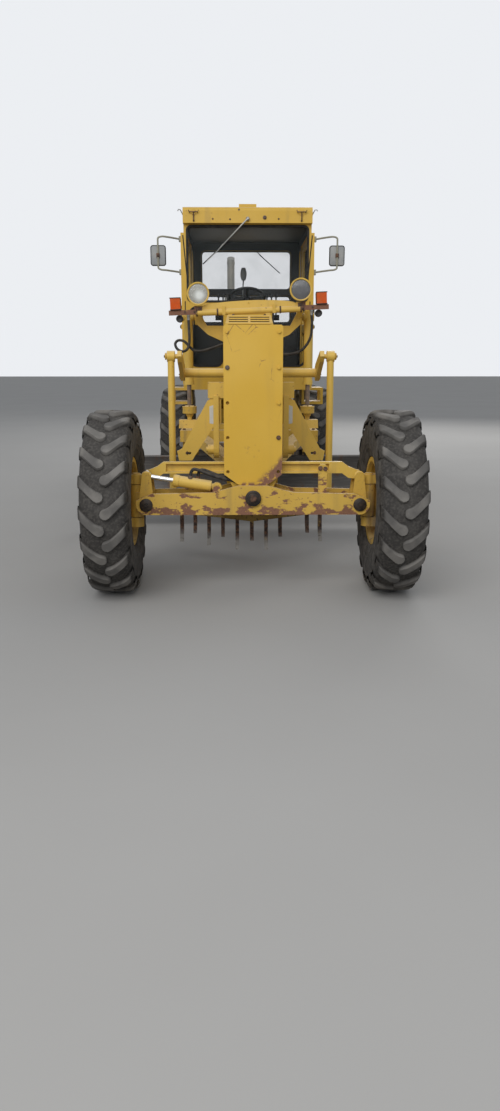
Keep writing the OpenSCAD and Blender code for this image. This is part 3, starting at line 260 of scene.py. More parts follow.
# %% [markdown]
# ## Worn yellow paint
#
# The paint has had years of sun and stone chips. It could be painted by hand in an
# image, but a pattern made of noise needs no file and has no seams. Broad noise fades
# the paint, noise stretched up and down gives runs of dirt, and small spots of rust
# show only where a fine noise is high inside a coarse one, so they come in patches.
# Faces that look up hold dust.

# %% Worn yellow paint
YELLOW = (0.585, 0.350, 0.030)
PALE = (0.67, 0.43, 0.080)
RUST = (0.135, 0.060, 0.035)
DIRT = (0.17, 0.125, 0.075)
# The box inside the cab where the paint is painted near black, as painted shade.
CAB_SHADE_SIDE, CAB_SHADE_FRONT, CAB_SHADE_BACK, CAB_SHADE_TOP = 0.641, 3.009, 4.362, 3.12  # The cab's dark inside


def worn_paint(name, paint=YELLOW, rust=0.5, dirt=0.4, seed=0.0, rough=0.5, extra=None, gloomy=False):
    """Faded paint with runs of dirt and patches of rust.

    extra adds a rust mask of its own, and gloomy blackens what lies inside the cab, as painted shade.
    """
    f = Finish(name, Specular_IOR_Level=0.4)
    broad = f.noise(1.3, 3, shift=seed)
    fine = f.noise(34, 6, shift=seed + 2)
    runs = f.noise(9, 5, (1, 1, 0.12), seed + 4)
    faded = tuple(a * 0.55 + b * 0.45 for a, b in zip(paint, PALE))
    colour = f.mix(broad.rise(0.38, 0.66), paint, faded)
    upward = f.axis("Z", f.facing).rise(0.45, 0.95)
    colour = f.mix(upward * 0.5, colour, tuple(c * 0.6 + 0.27 for c in paint))
    grime = (runs.rise(0.52, 0.8) * dirt) + (f.noise(60, 3).rise(0.55, 0.75) * (dirt * 0.25))
    colour = f.mix(grime, colour, DIRT)
    low = f.axis("Z").rise(1.1, 0.3) * (dirt * 0.45)
    colour = f.mix(low * f.noise(5, 4, shift=seed), colour, DIRT)
    patchy = f.noise(4.5, 4, shift=seed + 7).rise(0.62 - 0.14 * rust, 0.74 - 0.1 * rust)
    spots = fine.rise(0.60, 0.68) * patchy
    mask = spots * min(1.0, rust * 1.6)
    if extra:
        mask = mask.most(extra(f, fine))
    colour = f.mix(mask, colour, f.mix(f.noise(90, 3), RUST, (0.26, 0.125, 0.075)))
    if gloomy:
        # Painted shade: inside the cab the paint is darkened to near black.
        behind = f.axis("Y") - AXLE
        within = (behind > CAB_SHADE_FRONT) * (behind < CAB_SHADE_BACK) * (f.axis("Z") < CAB_SHADE_TOP)
        within = (abs(f.axis("X")) < CAB_SHADE_SIDE) * within
        painted_cab_shade = f.mix(f.noise(20, 4), (0.010, 0.010, 0.011), (0.028, 0.026, 0.024))
        colour = f.mix(within, colour, painted_cab_shade)
    f.set(Base_Color=colour, Roughness=(broad * 0.18) + (mask * 0.25) + (rough - 0.1))
    f.bump((f.noise(55, 3) * 0.25) + (mask * -0.7), 0.35, 0.003)
    return f


# %% [markdown]
# ## Damage on the yellow pieces
#
# The paint is gone where the machine was hit or scraped: along the axle beam's lower
# front, in cracks on the nose plate, and in chips on all that works near the ground.
# Each kind of damage is a mask of its own, added to the patches of rust. Then each group
# of pieces gets a yellow of its own, as some are cleaner and others more faded.

# %% Damage on the yellow pieces


def scraped_beam(f, fine):
    """Rust along the lower front of the axle beam and in scrapes across it."""
    low = f.axis("Z").rise(0.71, 0.615)
    middle = abs(f.axis("X")).rise(0.80, 0.45)
    scrapes = f.noise(15, 7, (0.6, 1, 1.2), 3.0)
    specks = f.noise(80, 4, shift=1.0)
    share = scrapes + (low * 0.15) + (middle * 0.03) + (specks * 0.12)
    patches = share.rise(0.655, 0.715) * fine.rise(0.28, 0.44)
    return patches.most(specks.rise(0.68, 0.72))


def plate_cracks(f, fine):
    """Cracked and chipped paint on the upper half of the nose plate, and a bare corner."""
    stretched = f.node("ShaderNodeMapping", None, f.place, (0.31, 0, 0.17), (0, 0, 0), (1, 1, 0.75))
    edges = {"feature": "DISTANCE_TO_EDGE"}
    thread = f.node("ShaderNodeTexVoronoi", edges, Vector=stretched, Scale=9.0)
    patch = f.noise(5.5, 3, (1, 1, 0.7), 5.3).rise(0.50, 0.58) * f.axis("Z").rise(1.25, 1.55)
    cracks = thread.rise(0.020, 0.004) * patch * fine.rise(0.36, 0.48)
    across_corner = f.axis("X") - (f.axis("Z") * 0.9) + (f.noise(9, 4) * 0.10)
    corner = across_corner.rise(-0.700, -0.640) * fine.rise(0.30, 0.46)
    foot = f.axis("Z").rise(0.85, 0.825) * fine.rise(0.40, 0.55)
    return cracks.most(corner).most(foot)


def knocks(f, fine):
    """Larger chips, where stones hit what works near the ground."""
    return f.noise(16, 5, shift=2.0).rise(0.66, 0.72) * fine.rise(0.45, 0.6)


cab_paint = worn_paint("cab_paint", YELLOW, 0.25, 0.3, 1.0, gloomy=True)
plate_paint = worn_paint("plate_paint", (0.590, 0.350, 0.032), 0.18, 0.12, 2.0, 0.55, plate_cracks)
frame_paint = worn_paint("frame_paint", (0.585, 0.355, 0.038), 0.5, 0.45, 3.0)
pale_paint = worn_paint("pale_paint", (0.64, 0.415, 0.070), 0.5, 0.45, 4.0)
beam_paint = worn_paint("beam_paint", (0.56, 0.345, 0.050), 0.95, 0.4, 5.0, 0.6, scraped_beam)
wheel_paint = worn_paint("wheel_paint", (0.57, 0.345, 0.035), 0.7, 0.85, 6.0, 0.6)
hood_paint = worn_paint("hood_paint", (0.585, 0.355, 0.036), 0.3, 0.35, 7.0)
dirty_paint = worn_paint("dirty_paint", (0.55, 0.335, 0.045), 0.9, 0.95, 8.0, 0.65, knocks)
print("paints:", len(bpy.data.materials))

# %% [markdown]
# ## Rusty and scratched steel
#
# Bare steel is rusty where it only hangs in the rain and bright where it digs. One
# finish for both would look like neither: rust is blotchy and matt, while the blade's
# scratches all run the way the earth slides. So the first is made of round noise, and
# the second of noise that is drawn out along one axis.

# %% Rusty and scratched steel


def rusty_steel(name, bright=0.0, seed=0.0, tips=None, yellow=0.0):
    """Rust with bright places, flakes of old paint, and tips worn clean below a height."""
    f = Finish(name, Specular_IOR_Level=0.35)
    fine = f.noise(45, 6, shift=seed)
    broad = f.noise(6, 4, shift=seed + 3)
    colour = f.mix(fine.rise(0.35, 0.7), (0.045, 0.028, 0.020), (0.17, 0.085, 0.048))
    colour = f.mix(broad.rise(0.52, 0.66) * bright, colour, (0.17, 0.155, 0.14))
    if yellow:
        flakes = f.noise(10, 5, shift=seed + 6).rise(0.62 - yellow * 0.2, 0.66) * fine.rise(0.35, 0.5)
        colour = f.mix(flakes, colour, (0.36, 0.24, 0.07))
    metal = broad * 0.25
    if tips:
        holders = f.axis("Z").rise(0.448, 0.462) * fine.rise(0.32, 0.46)
        colour = f.mix(holders, colour, (0.30, 0.20, 0.055))
        worn = f.axis("Z").rise(tips, tips - 0.09) * fine.rise(0.2, 0.5)
        colour = f.mix(worn, colour, (0.34, 0.325, 0.30))
        metal = metal.most(worn * 0.8)
    f.set(Base_Color=colour, Roughness=(fine * 0.3) + 0.5, Metallic=metal)
    return f.bump(fine, 0.4, 0.003)


def scratched_steel(name, tone, along, seed=0.0):
    """Worn steel with scratches that run along one axis."""
    f = Finish(name, Specular_IOR_Level=0.45)
    stretch = tuple(0.05 if name_of_axis == along else 1.0 for name_of_axis in "XYZ")
    scratch = f.noise(70, 4, stretch, seed)
    broad = f.noise(2.6, 5, shift=seed + 1)
    colour = f.mix(broad.rise(0.35, 0.7), tuple(t * 0.62 for t in tone), tone)
    colour = f.mix(scratch.rise(0.45, 0.75) * 0.6, colour, tuple(min(1, t * 1.5) for t in tone))
    colour = f.mix(f.noise(9, 6, shift=seed + 2).rise(0.55, 0.68) * 0.75, colour, (0.15, 0.085, 0.05))
    f.set(Base_Color=colour, Roughness=0.62 - scratch * 0.25, Metallic=broad * 0.45 + 0.1)
    return f.bump(scratch, 0.25, 0.002)


tooth_steel = rusty_steel("tooth_steel", 0.25, 1.0, 0.34, 0.35)
bolt_steel = rusty_steel("bolt_steel", 0.5, 2.0)
bracket_rust = rusty_steel("bracket_rust", 0.1, 3.0, None, 0.25)
blade_steel = scratched_steel("blade_steel", (0.15, 0.14, 0.13), "X", 1.0)
edge_steel = scratched_steel("edge_steel", (0.27, 0.26, 0.25), "X", 2.0)
ring_steel = scratched_steel("ring_steel", (0.20, 0.18, 0.16), "Z", 3.0)
print("with steels:", len(bpy.data.materials))

# %% [markdown]
# ## Dusty finishes
#
# Cast iron, rubber, vinyl, lenses and small painted parts have one thing in common
# here: a base colour under a film of yard dust, thickest on faces that look up. One
# function makes them all, so they look as if they had stood in the same yard, and only
# the two colours and a few numbers tell them apart.

# %% Dusty finishes


def dusty(name, base, dust, share=0.5, rough=0.75, scale=18, seed=0.0, depth=0.3, metallic=0.0):
    """A plain matt finish with a film of dust on it, thicker on faces that look up."""
    f = Finish(name, Specular_IOR_Level=0.3, Metallic=metallic)
    film = f.noise(scale, 5, shift=seed)
    upward = f.axis("Z", f.facing).rise(0.2, 0.95)
    colour = f.mix((film.rise(0.35, 0.7) * share) + (upward * share * 0.6), base, dust)
    f.set(Base_Color=colour, Roughness=film * 0.2 + (rough - 0.1))
    return f.bump(film, depth, 0.002)


greasy_steel = dusty("greasy_steel", (0.020, 0.017, 0.015), (0.085, 0.055, 0.035), 0.5, 0.5, 40, 13.0,
                     0.5, 0.2)
stack_steel = dusty("stack_steel", (0.29, 0.285, 0.26), (0.38, 0.35, 0.30), 0.5, 0.6, 9, 4.0, 0.3, 0.3)
iron = dusty("iron", (0.055, 0.052, 0.050), (0.20, 0.16, 0.11), 0.5, 0.65, 14, 1.0)
black_metal = dusty("black_metal", (0.013, 0.013, 0.014), (0.11, 0.10, 0.085), 0.3, 0.55, 12, 2.0)
trim_rubber = dusty("trim_rubber", (0.012, 0.012, 0.012), (0.10, 0.095, 0.085), 0.25, 0.8, 22, 3.0)
hose_rubber = dusty("hose_rubber", (0.014, 0.014, 0.015), (0.14, 0.115, 0.085), 0.35, 0.6, 30, 4.0)
vinyl = dusty("vinyl", (0.020, 0.019, 0.018), (0.12, 0.11, 0.095), 0.3, 0.55, 26, 5.0, 0.5)
mirror_back = dusty("mirror_back", (0.27, 0.28, 0.28), (0.42, 0.40, 0.36), 0.5, 0.55, 9, 6.0, 0.2)
pale_steel = dusty("pale_steel", (0.55, 0.56, 0.55), (0.40, 0.36, 0.28), 0.35, 0.35, 16, 7.0, 0.1)
orange_lens = dusty("orange_lens", (0.66, 0.115, 0.018), (0.50, 0.20, 0.09), 0.35, 0.3, 12, 8.0, 0.1)
red_lens = dusty("red_lens", (0.45, 0.018, 0.014), (0.35, 0.12, 0.08), 0.3, 0.3, 12, 9.0, 0.1)
knob_black = dusty("knob_black", (0.010, 0.010, 0.010), (0.06, 0.055, 0.05), 0.2, 0.35, 20, 10.0, 0.1)
arm_grey = dusty("arm_grey", (0.27, 0.26, 0.20), (0.36, 0.33, 0.26), 0.5, 0.6, 30, 15.0, 0.2)
wiper_metal = dusty("wiper_metal", (0.30, 0.30, 0.29), (0.38, 0.36, 0.32), 0.4, 0.4, 30, 11.0, 0.1, 0.5)
reflector = dusty("reflector", (0.85, 0.85, 0.82), (0.60, 0.57, 0.50), 0.3, 0.15, 9, 12.0, 0.05, 0.85)
print("with dusty finishes:", len(bpy.data.materials))

# %% [markdown]
# ## Cylinder rods
#
# A cylinder's rod is hard chrome where its seals wipe it, as on the lean and the
# articulation cylinders. The rods that lift the blade look dull and greasy in the
# photograph. They end in cups that are painted, and as rod and cup are one CAD part,
# the height of a point tells which finish it gets.

# %% Cylinder rods
CUP_TOP = 1.2735


def polished_rod():
    """Hard chrome with a little dried oil."""
    f = Finish("rod_chrome", Metallic=1.0)
    film = f.noise(24, 4)
    f.set(Base_Color=f.mix(film.rise(0.55, 0.8) * 0.5, (0.74, 0.75, 0.76), (0.40, 0.35, 0.27)),
          Roughness=film * 0.25 + 0.08)
    return f.bump(film, 0.05, 0.001)


def greasy_rod():
    """The lift cylinders' rods are dull and greasy, and their cups are painted."""
    f = Finish("dull_rod", Specular_IOR_Level=0.4)
    film = f.noise(30, 5)
    rod = f.mix(film.rise(0.35, 0.7), (0.17, 0.13, 0.10), (0.26, 0.18, 0.12))
    paint = f.mix(film.rise(0.45, 0.75) * 0.6, (0.52, 0.32, 0.045), DIRT)
    cup = f.axis("Z") < CUP_TOP
    f.set(Base_Color=f.mix(cup, rod, paint), Roughness=(cup * 0.2) + 0.4, Metallic=0.5 - (cup * 0.5))
    return f.bump(film, 0.2, 0.002)


rod_chrome = polished_rod()
dull_rod = greasy_rod()
print("rods:", rod_chrome.material.name, dull_rod.material.name)

# %% [markdown]
# ## Glass
#
# Real refraction would need thick panes and many light bounces. A thin surface that is
# almost clear, with a glossy face and a film of dirt in its alpha, looks the same at
# this size and bakes well. The lamps' glass has upright flutes, one lamp is paler and has
# a painted highlight low in its glass, and the other is grey, as in the photograph.

# %% Glass
# The middle of the painted highlight on the left head lamp's glass.
GLINT_X, GLINT_Z = -0.470, 2.325


def clear_glass(name, tint, alpha, rough=0.06):
    """A tinted pane that is nearly clear, with a thin and uneven film of dirt."""
    f = Finish(name, IOR=1.45, Specular_IOR_Level=0.5, Base_Color=tint)
    film = f.noise(3.2, 5)
    f.set(Roughness=film * 0.12 + rough, Alpha=film.rise(0.45, 0.9) * 0.10 + alpha)
    return f


def lamp_glass():
    """Ribbed lens: fine upright flutes, and a painted highlight low in the left lamp."""
    f = Finish("lamp_glass", IOR=1.45, Specular_IOR_Level=0.8)
    flutes = f.node("ShaderNodeTexWave", {"bands_direction": "X"}, f.place, 28.0, 0.4, 2.0)
    across, up = f.axis("X") - GLINT_X, f.axis("Z") - GLINT_Z
    # Painted highlight: a near-white spot low in the left lamp's glass.
    painted_glint = ((across * across + up * up) ** 0.5).rise(0.085, 0.015)
    ribs = flutes.rise(0.2, 0.8)
    pale = f.mix(painted_glint, f.mix(ribs, (0.26, 0.245, 0.195), (0.40, 0.39, 0.34)), (0.86, 0.88, 0.85))
    grey = f.mix(ribs, (0.10, 0.10, 0.105), (0.17, 0.17, 0.175))
    second = f.axis("X") > 0.0
    f.set(Base_Color=f.mix(second, pale, grey), Roughness=flutes * 0.1 + 0.1,
          Alpha=(flutes * 0.12) + (second * 0.35) + (painted_glint * 0.4) + 0.3)
    return f.bump(flutes, 0.4, 0.002)


cab_pane = clear_glass("cab_pane", (0.06, 0.075, 0.075), 0.07)
mirror_glass = clear_glass("mirror_glass", (0.55, 0.60, 0.62), 0.9, 0.02)
lens_glass = lamp_glass()
print("finishes:", len(bpy.data.materials))

# %% [markdown]
# ## Outlines and paths
#
# Gaskets, mirrors and cushions start as a rectangle with round corners, and hoses and
# grips as a few points with a smooth curve through them. Blender has curve objects for
# both, but plain lists of points can be measured and moved before any mesh is made.

# %% Outlines and paths


def across(axis, p, h):
    """The point p of a plane that stands across an axis, at the place h on the axis."""
    return {"X": (h, p[0], p[1]), "Y": (p[0], h, p[1]), "Z": (p[0], p[1], h)}[axis]


def rounded(x, z, r, steps=5):
    """A rectangle's outline with round corners, from its low and high sides."""
    corners = ((x[1] - r, z[1] - r, 0), (x[0] + r, z[1] - r, 90), (x[0] + r, z[0] + r, 180),
               (x[1] - r, z[0] + r, 270))
    return [(cx + r * math.cos(math.radians(a + 90 * i / steps)),
             cz + r * math.sin(math.radians(a + 90 * i / steps)))
            for cx, cz, a in corners for i in range(steps + 1)]


def smooth_path(points, steps=6):
    """More points on a smooth curve through the given ones."""
    p = [Vector(q) for q in points]
    p = [p[0] * 2 - p[1], *p, p[-1] * 2 - p[-2]]
    path = []
    for a, b, c, d in zip(p, p[1:], p[2:], p[3:]):
        square, cube = 2 * a - 5 * b + 4 * c - d, 3 * b - a - 3 * c + d
        for i in range(steps):
            t = i / steps
            path.append(0.5 * (2 * b + (c - a) * t + square * t * t + cube * t ** 3))
    return [*path, p[-2]]


def round_about(radius, angles):
    """Pairs of offsets, at a radius and at some angles in radians."""
    return [(radius * math.cos(a), radius * math.sin(a)) for a in angles]


print("points round a mirror:", len(rounded((0, 0.2), (0, 0.3), 0.02)))

# %% [markdown]
# ## Pieces on their bodies
#
# A new piece has to move with the joint of what carries it, so it rides on one of the
# CAD's bodies. Parenting every piece by hand would work too, but one function that
# links it and lets it ride can't forget a step.

# %% Pieces on their bodies


def show(piece):
    """Links a new object to the scene, unless it is there already."""
    if not piece.users_collection:
        bpy.context.scene.collection.objects.link(piece)


def settle(piece, body, replaces=()):
    """Puts a finished piece in the scene and on its CAD body."""
    show(piece)
    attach(piece, body)
    if replaces:
        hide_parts(*replaces)
    return piece


# %% [markdown]
# ## Forms
#
# Most small parts are a profile turned about a line, a tube along points, or an
# outline given a thickness. Blender's operators could add them one by one, but they
# depend on what is selected. One class gathers such shapes in a mesh instead. Their
# edges are marked sharp only where faces meet at more than 38 degrees, so round things
# look round without more faces, and a small bevel catches the light on boxes.

# %% Forms


class Form:
    """Simple shapes gathered in one mesh."""

    def __init__(self):
        self.mesh = bmesh.new()

    def skin(self, rings, closed=False):
        """Faces between rings of points, with a lid on each end unless closed."""
        made = [[self.mesh.verts.new(p) for p in ring] for ring in rings]
        n = len(made[0])
        for a, b in zip(made, made[1:] + ([made[0]] if closed else [])):
            for i in range(n):
                self.mesh.faces.new((a[i], a[(i + 1) % n], b[(i + 1) % n], b[i]))
        if not closed:
            self.mesh.faces.new(made[0][::-1])
            self.mesh.faces.new(made[-1])
        return self

    def turned(self, profile, centre, axis=(0, 1, 0), turns=28, closed=False):
        """A profile of (distance along the axis, radius) pairs, turned about the axis."""
        line = Vector(axis).normalized()
        side = line.orthogonal().normalized()
        up = line.cross(side)
        angles = [2 * math.pi * i / turns for i in range(turns)]
        spokes = [side * math.cos(a) + up * math.sin(a) for a in angles]
        rings = [[Vector(centre) + line * h + spoke * max(r, 0.0004) for spoke in spokes]
                 for h, r in profile]
        return self.skin(rings, closed)

    def tube(self, points, radius, sides=10):
        """A round tube along points; radius is one number or one for each point."""
        points = [Vector(p) for p in points]
        radii = radius if isinstance(radius, (list, tuple)) else [radius] * len(points)
        angles = [2 * math.pi * j / sides for j in range(sides)]
        rings, side = [], None
        for i, p in enumerate(points):
            line = (points[min(i + 1, len(points) - 1)] - points[max(i - 1, 0)]).normalized()
            side = line.orthogonal() if side is None else side - line * side.dot(line)
            side.normalize()
            up = line.cross(side)
            rings.append([p + (side * math.cos(a) + up * math.sin(a)) * radii[i] for a in angles])
        return self.skin(rings)

    def prism(self, outline, low, high, axis="Y", bevel=0.0):
        """An outline on the plane across an axis, from one place on the axis to another."""
        before = set(self.mesh.edges)
        self.skin([[across(axis, p, h) for p in outline] for h in (low, high)])
        if bevel:
            edges = [e for e in self.mesh.edges if e not in before]
            bmesh.ops.bevel(self.mesh, geom=edges, offset=bevel, segments=2, affect="EDGES",
                            profile=0.5)
        return self

    def box(self, low, high, bevel=0.004):
        """A block between two corners, with its edges rounded a little."""
        x0, y0, z0 = low
        x1, y1, z1 = high
        return self.prism([(x0, z0), (x1, z0), (x1, z1), (x0, z1)], y0, y1, "Y", bevel)

    def frame(self, u, v, r, low, high, inside=0.012, outside=0.014, axis="Y"):
        """A flat ring over the edge of a rectangular opening with round corners, such as a gasket."""
        small_u, small_v = (u[0] + inside, u[1] - inside), (v[0] + inside, v[1] - inside)
        large_u, large_v = (u[0] - outside, u[1] + outside), (v[0] - outside, v[1] + outside)
        small = rounded(small_u, small_v, max(r - inside, 0.004))
        large = rounded(large_u, large_v, r + outside)
        rings = ((large, low), (large, high), (small, high), (small, low))
        return self.skin([[across(axis, p, h) for p in outline] for outline, h in rings], True)

    def moved(self, matrix):
        bmesh.ops.transform(self.mesh, matrix=matrix, verts=self.mesh.verts)
        return self

    def loose(self, name):
        """The shapes as a plain object, for a modifier or a tree to work on."""
        bmesh.ops.recalc_face_normals(self.mesh, faces=self.mesh.faces)
        data = bpy.data.meshes.new(name)
        self.mesh.to_mesh(data)
        self.mesh.free()
        return bpy.data.objects.new(name, data)

    def make(self, name, body, finish, slot, replaces=()):
        """The finished object, at the origin, riding on its body."""
        bmesh.ops.remove_doubles(self.mesh, verts=self.mesh.verts, dist=1e-5)
        bmesh.ops.recalc_face_normals(self.mesh, faces=self.mesh.faces)
        for face in self.mesh.faces:
            face.smooth = True
        for edge in self.mesh.edges:
            edge.smooth = len(edge.link_faces) == 2 and edge.calc_face_angle(0) < math.radians(38)
        data = bpy.data.meshes.new(name)
        self.mesh.to_mesh(data)
        self.mesh.free()
        data.materials.append(finish.material)
        return settle(bpy.data.objects.new(name, data), body, replaces)


print("faces of a bevelled box:", len(Form().box((0, 0, 0), (1, 1, 1)).mesh.faces))

# %% [markdown]
# ## Copies by Geometry Nodes
#
# Tread bars, ring teeth and bolts repeat by a rule. A loop in Python could add every
# copy, but Geometry Nodes do it faster, and their inputs stay readable. Every tree ends
# in Realize Instances and Set Material, and its result is turned into a plain mesh at
# once, because an export would drop the instances.

# %% Copies by Geometry Nodes


class Tree:
    """A Geometry Nodes tree built in the script, with named inputs."""

    def __init__(self, name, **inputs):
        self.tree = bpy.data.node_groups.new(name, "GeometryNodeTree")
        face = self.tree.interface
        self.ids = {}
        for key, kind in {"Geometry": "Geometry", **inputs, "Finish": "Material"}.items():
            socket = face.new_socket(key, in_out="INPUT", socket_type="NodeSocket" + kind)
            self.ids[key] = socket.identifier
        face.new_socket("Geometry", in_out="OUTPUT", socket_type="NodeSocketGeometry")
        self.given = self.tree.nodes.new("NodeGroupInput").outputs

    def node(self, kind, settings=None, out=0, **inputs):
        """Any node; an input that goes by its number is written _0, _1 and so on."""
        made = self.tree.nodes.new(kind)
        for key, value in (settings or {}).items():
            setattr(made, key, value)
        for key, term in inputs.items():
            socket = made.inputs[int(key[1:])] if key[0] == "_" else made.inputs[key.replace("_", " ")]
            if isinstance(term, bpy.types.NodeSocket):
                self.tree.links.new(term, socket)
            else:
                socket.default_value = term
        return made.outputs[out]

    def end(self, instances):
        """The last nodes of every tree: real copies with the finish on them."""
        real = self.node("GeometryNodeRealizeInstances", Geometry=instances)
        dressed = self.node("GeometryNodeSetMaterial", Geometry=real, Material=self.given["Finish"])
        self.tree.links.new(dressed, self.tree.nodes.new("NodeGroupOutput").inputs[0])
        return self

    def mesh_of(self, piece, finish, **values):
        """The tree's result on a piece, as a plain mesh in place of the piece's own."""
        modifier = piece.modifiers.new("copies", "NODES")
        modifier.node_group = self.tree
        for key, value in {**values, "Finish": finish.material}.items():
            modifier[self.ids[key]] = value
        show(piece)
        piece.data = result_of(piece)
        return piece


def result_of(piece):
    """What a piece's modifiers make of it, as a mesh; the modifiers are removed."""
    bpy.context.view_layer.update()
    evaluated = piece.evaluated_get(bpy.context.evaluated_depsgraph_get())
    made = bpy.data.meshes.new_from_object(evaluated)
    piece.modifiers.clear()
    return made


# %% [markdown]
# ## Two trees
#
# Two small trees are enough for this machine. One turns copies of a shape about an
# axle, as the bars of a tyre and the teeth of the circle need. The other puts a washer
# and a six-sided head on each listed point, facing that bolt's own way.

# %% Two trees


def ring_tree():
    """Copies of the piece's own mesh, turned about an axis through Centre."""
    t = Tree("ring_of_copies", Count="Int", Centre="Vector", Axis="Vector", Start="Float")
    line = t.node("GeometryNodeMeshLine", Count=t.given["Count"], Offset=(0.0, 0.0, 0.0))
    step = t.node("ShaderNodeMath", {"operation": "DIVIDE"}, _0=2 * math.pi, _1=t.given["Count"])
    angle = t.node("ShaderNodeMath", {"operation": "MULTIPLY_ADD"},
                   _0=t.node("GeometryNodeInputIndex"), _1=step, _2=t.given["Start"])
    turn = t.node("FunctionNodeAxisAngleToRotation", Axis=t.given["Axis"], Angle=angle)
    copies = t.node("GeometryNodeInstanceOnPoints", Points=line, Instance=t.given["Geometry"],
                    Rotation=turn)
    real = t.node("GeometryNodeRealizeInstances", Geometry=copies)
    return t.end(t.node("GeometryNodeTransform", Geometry=real, Translation=t.given["Centre"]))


def bolt_tree():
    """A washer and a six-sided head at each point, facing the way its attribute says."""
    t = Tree("bolt_heads")
    lids = {"fill_type": "NGON"}
    head = t.node("GeometryNodeMeshCylinder", lids, Vertices=6, Radius=1.0, Depth=0.75)
    head = t.node("GeometryNodeTransform", Geometry=head, Translation=(0.0, 0.0, 0.5))
    washer = t.node("GeometryNodeMeshCylinder", lids, Vertices=14, Radius=1.35, Depth=0.25)
    both_parts = t.tree.nodes.new("GeometryNodeJoinGeometry")
    t.tree.links.new(head, both_parts.inputs[0])
    t.tree.links.new(washer, both_parts.inputs[0])
    way = t.node("GeometryNodeInputNamedAttribute", {"data_type": "FLOAT_VECTOR"}, Name="facing")
    size = t.node("GeometryNodeInputNamedAttribute", {"data_type": "FLOAT"}, Name="size")
    turn = t.node("FunctionNodeAlignRotationToVector", {"axis": "Z"}, Vector=way)
    return t.end(t.node("GeometryNodeInstanceOnPoints", Points=t.given["Geometry"],
                        Instance=both_parts.outputs[0], Rotation=turn, Scale=size))


in_ring, bolt_heads = ring_tree(), bolt_tree()
bolts = {}


def bolt(body, places, facing, radius=0.012, finish=None):
    """Notes bolts for one body; they are all made together near the end."""
    rows = bolts.setdefault((body, finish or bolt_steel), [])
    rows.extend((Vector(p), Vector(facing), radius) for p in places)


print("trees:", [g.name for g in bpy.data.node_groups])

# %% [markdown]
# ## Tyres
#
# Tyre rubber is never black on a machine that works: its bars are worn smooth and
# dusty, and the grooves between them are painted darker as shade. The distance from
# the axle tells the shader which is which, so each pair of wheels needs its own copy of the finish.

# %% Tyre rubber


def tyre_rubber(name, axle_y):
    """Dust on the lugs, painted shade between them: the height over the axle tells which is which."""
    f = Finish(name, Specular_IOR_Level=0.25)
    y, z = f.axis("Y") - axle_y, f.axis("Z") - TYRE_R
    radius = (y * y + z * z) ** 0.5
    film = f.noise(7, 6)
    grit = f.noise(60, 5)
    dust = f.mix(film.rise(0.35, 0.68), (0.100, 0.094, 0.087), (0.180, 0.168, 0.152))
    # Painted shade: the grooves between the lugs are darker, with fine grit in them.
    groove_shade = f.mix(grit.rise(0.4, 0.7), (0.038, 0.035, 0.032), (0.072, 0.066, 0.059))
    on_lug = (radius + film * 0.01).rise(0.655, 0.676)
    side = (f.noise(16, 5).rise(0.35, 0.65) * 0.4) * radius.rise(0.62, 0.58)
    colour = f.mix(on_lug.most(side), groove_shade, dust)
    low = f.axis("Z").rise(0.18, 0.02) * film.rise(0.3, 0.6) * 0.5
    colour = f.mix(low, colour, (0.21, 0.185, 0.15))
    f.set(Base_Color=colour, Roughness=0.92 - film * 0.14)
    return f.bump(grit * 0.5 + film, 0.35, 0.002)


# %% [markdown]
# ## Tyre shape
#
# A grader's tyre has a traction tread: thick bars that start with a hook in the middle
# and sweep up to the shoulder, with the two sides half a step apart. A bump map would
# leave the outline round, so they are real. One bar is a strip of cross-sections
# wrapped round the tread. Geometry Nodes turn eighteen pairs of them about the axle,
# and a turned profile gives the carcass and its ribs.

# %% Tyre shape
LUGS = 18
# Wheels: axle, distance behind the front one, and X of the tyre's middle
WHEELS = (("front", 0.0, 1.045), ("mid", 5.2, 0.9425), ("rear", 6.72, 0.9425))
# Half of the carcass in section: X from the middle, and radius
tyre_profile = [
    (-0.125, 0.308), (-0.131, 0.335), (-0.148, 0.341), (-0.152, 0.352), (-0.157, 0.372), (-0.164, 0.395),
    (-0.168, 0.398), (-0.169, 0.410), (-0.171, 0.428), (-0.174, 0.431), (-0.174, 0.440), (-0.175, 0.480),
    (-0.174, 0.520), (-0.172, 0.556), (-0.169, 0.575), (-0.161, 0.607), (-0.148, 0.630), (-0.129, 0.642),
    (-0.101, 0.652), (-0.047, 0.654), (0.0, 0.655)]
tyre_profile += [(-h, r) for h, r in tyre_profile[-2::-1]]
# X from the middle, top radius, low and high edge along the tread
bar_sections = [
    (-0.012, 0.678, -0.080, -0.060), (-0.006, 0.683, -0.094, -0.046), (0.008, 0.685, -0.105, -0.036),
    (0.030, 0.685, -0.109, -0.029), (0.052, 0.685, -0.096, -0.016), (0.076, 0.684, -0.073, 0.005),
    (0.103, 0.683, -0.046, 0.030), (0.127, 0.680, -0.020, 0.056), (0.148, 0.670, 0.000, 0.080),
    (0.164, 0.648, 0.014, 0.094), (0.172, 0.612, 0.024, 0.100), (0.172, 0.575, 0.033, 0.098),
    (0.168, 0.548, 0.044, 0.088)]


def bar(side):
    """One tread bar, at the top of a wheel whose middle is the origin."""
    rings = []
    for x, top, low, high in bar_sections:
        base = min(top - 0.012, 0.63)
        ring = [(low - 0.010, base), (low, top - 0.007), (low + 0.006, top),
                (high - 0.006, top), (high, top - 0.007), (high + 0.010, base)]
        half_step = 0.0 if side > 0 else math.pi / LUGS
        turns = [(r, t / TYRE_R + half_step) for t, r in ring]
        rings.append([(side * x, r * math.sin(a), r * math.cos(a)) for r, a in turns])
    return rings


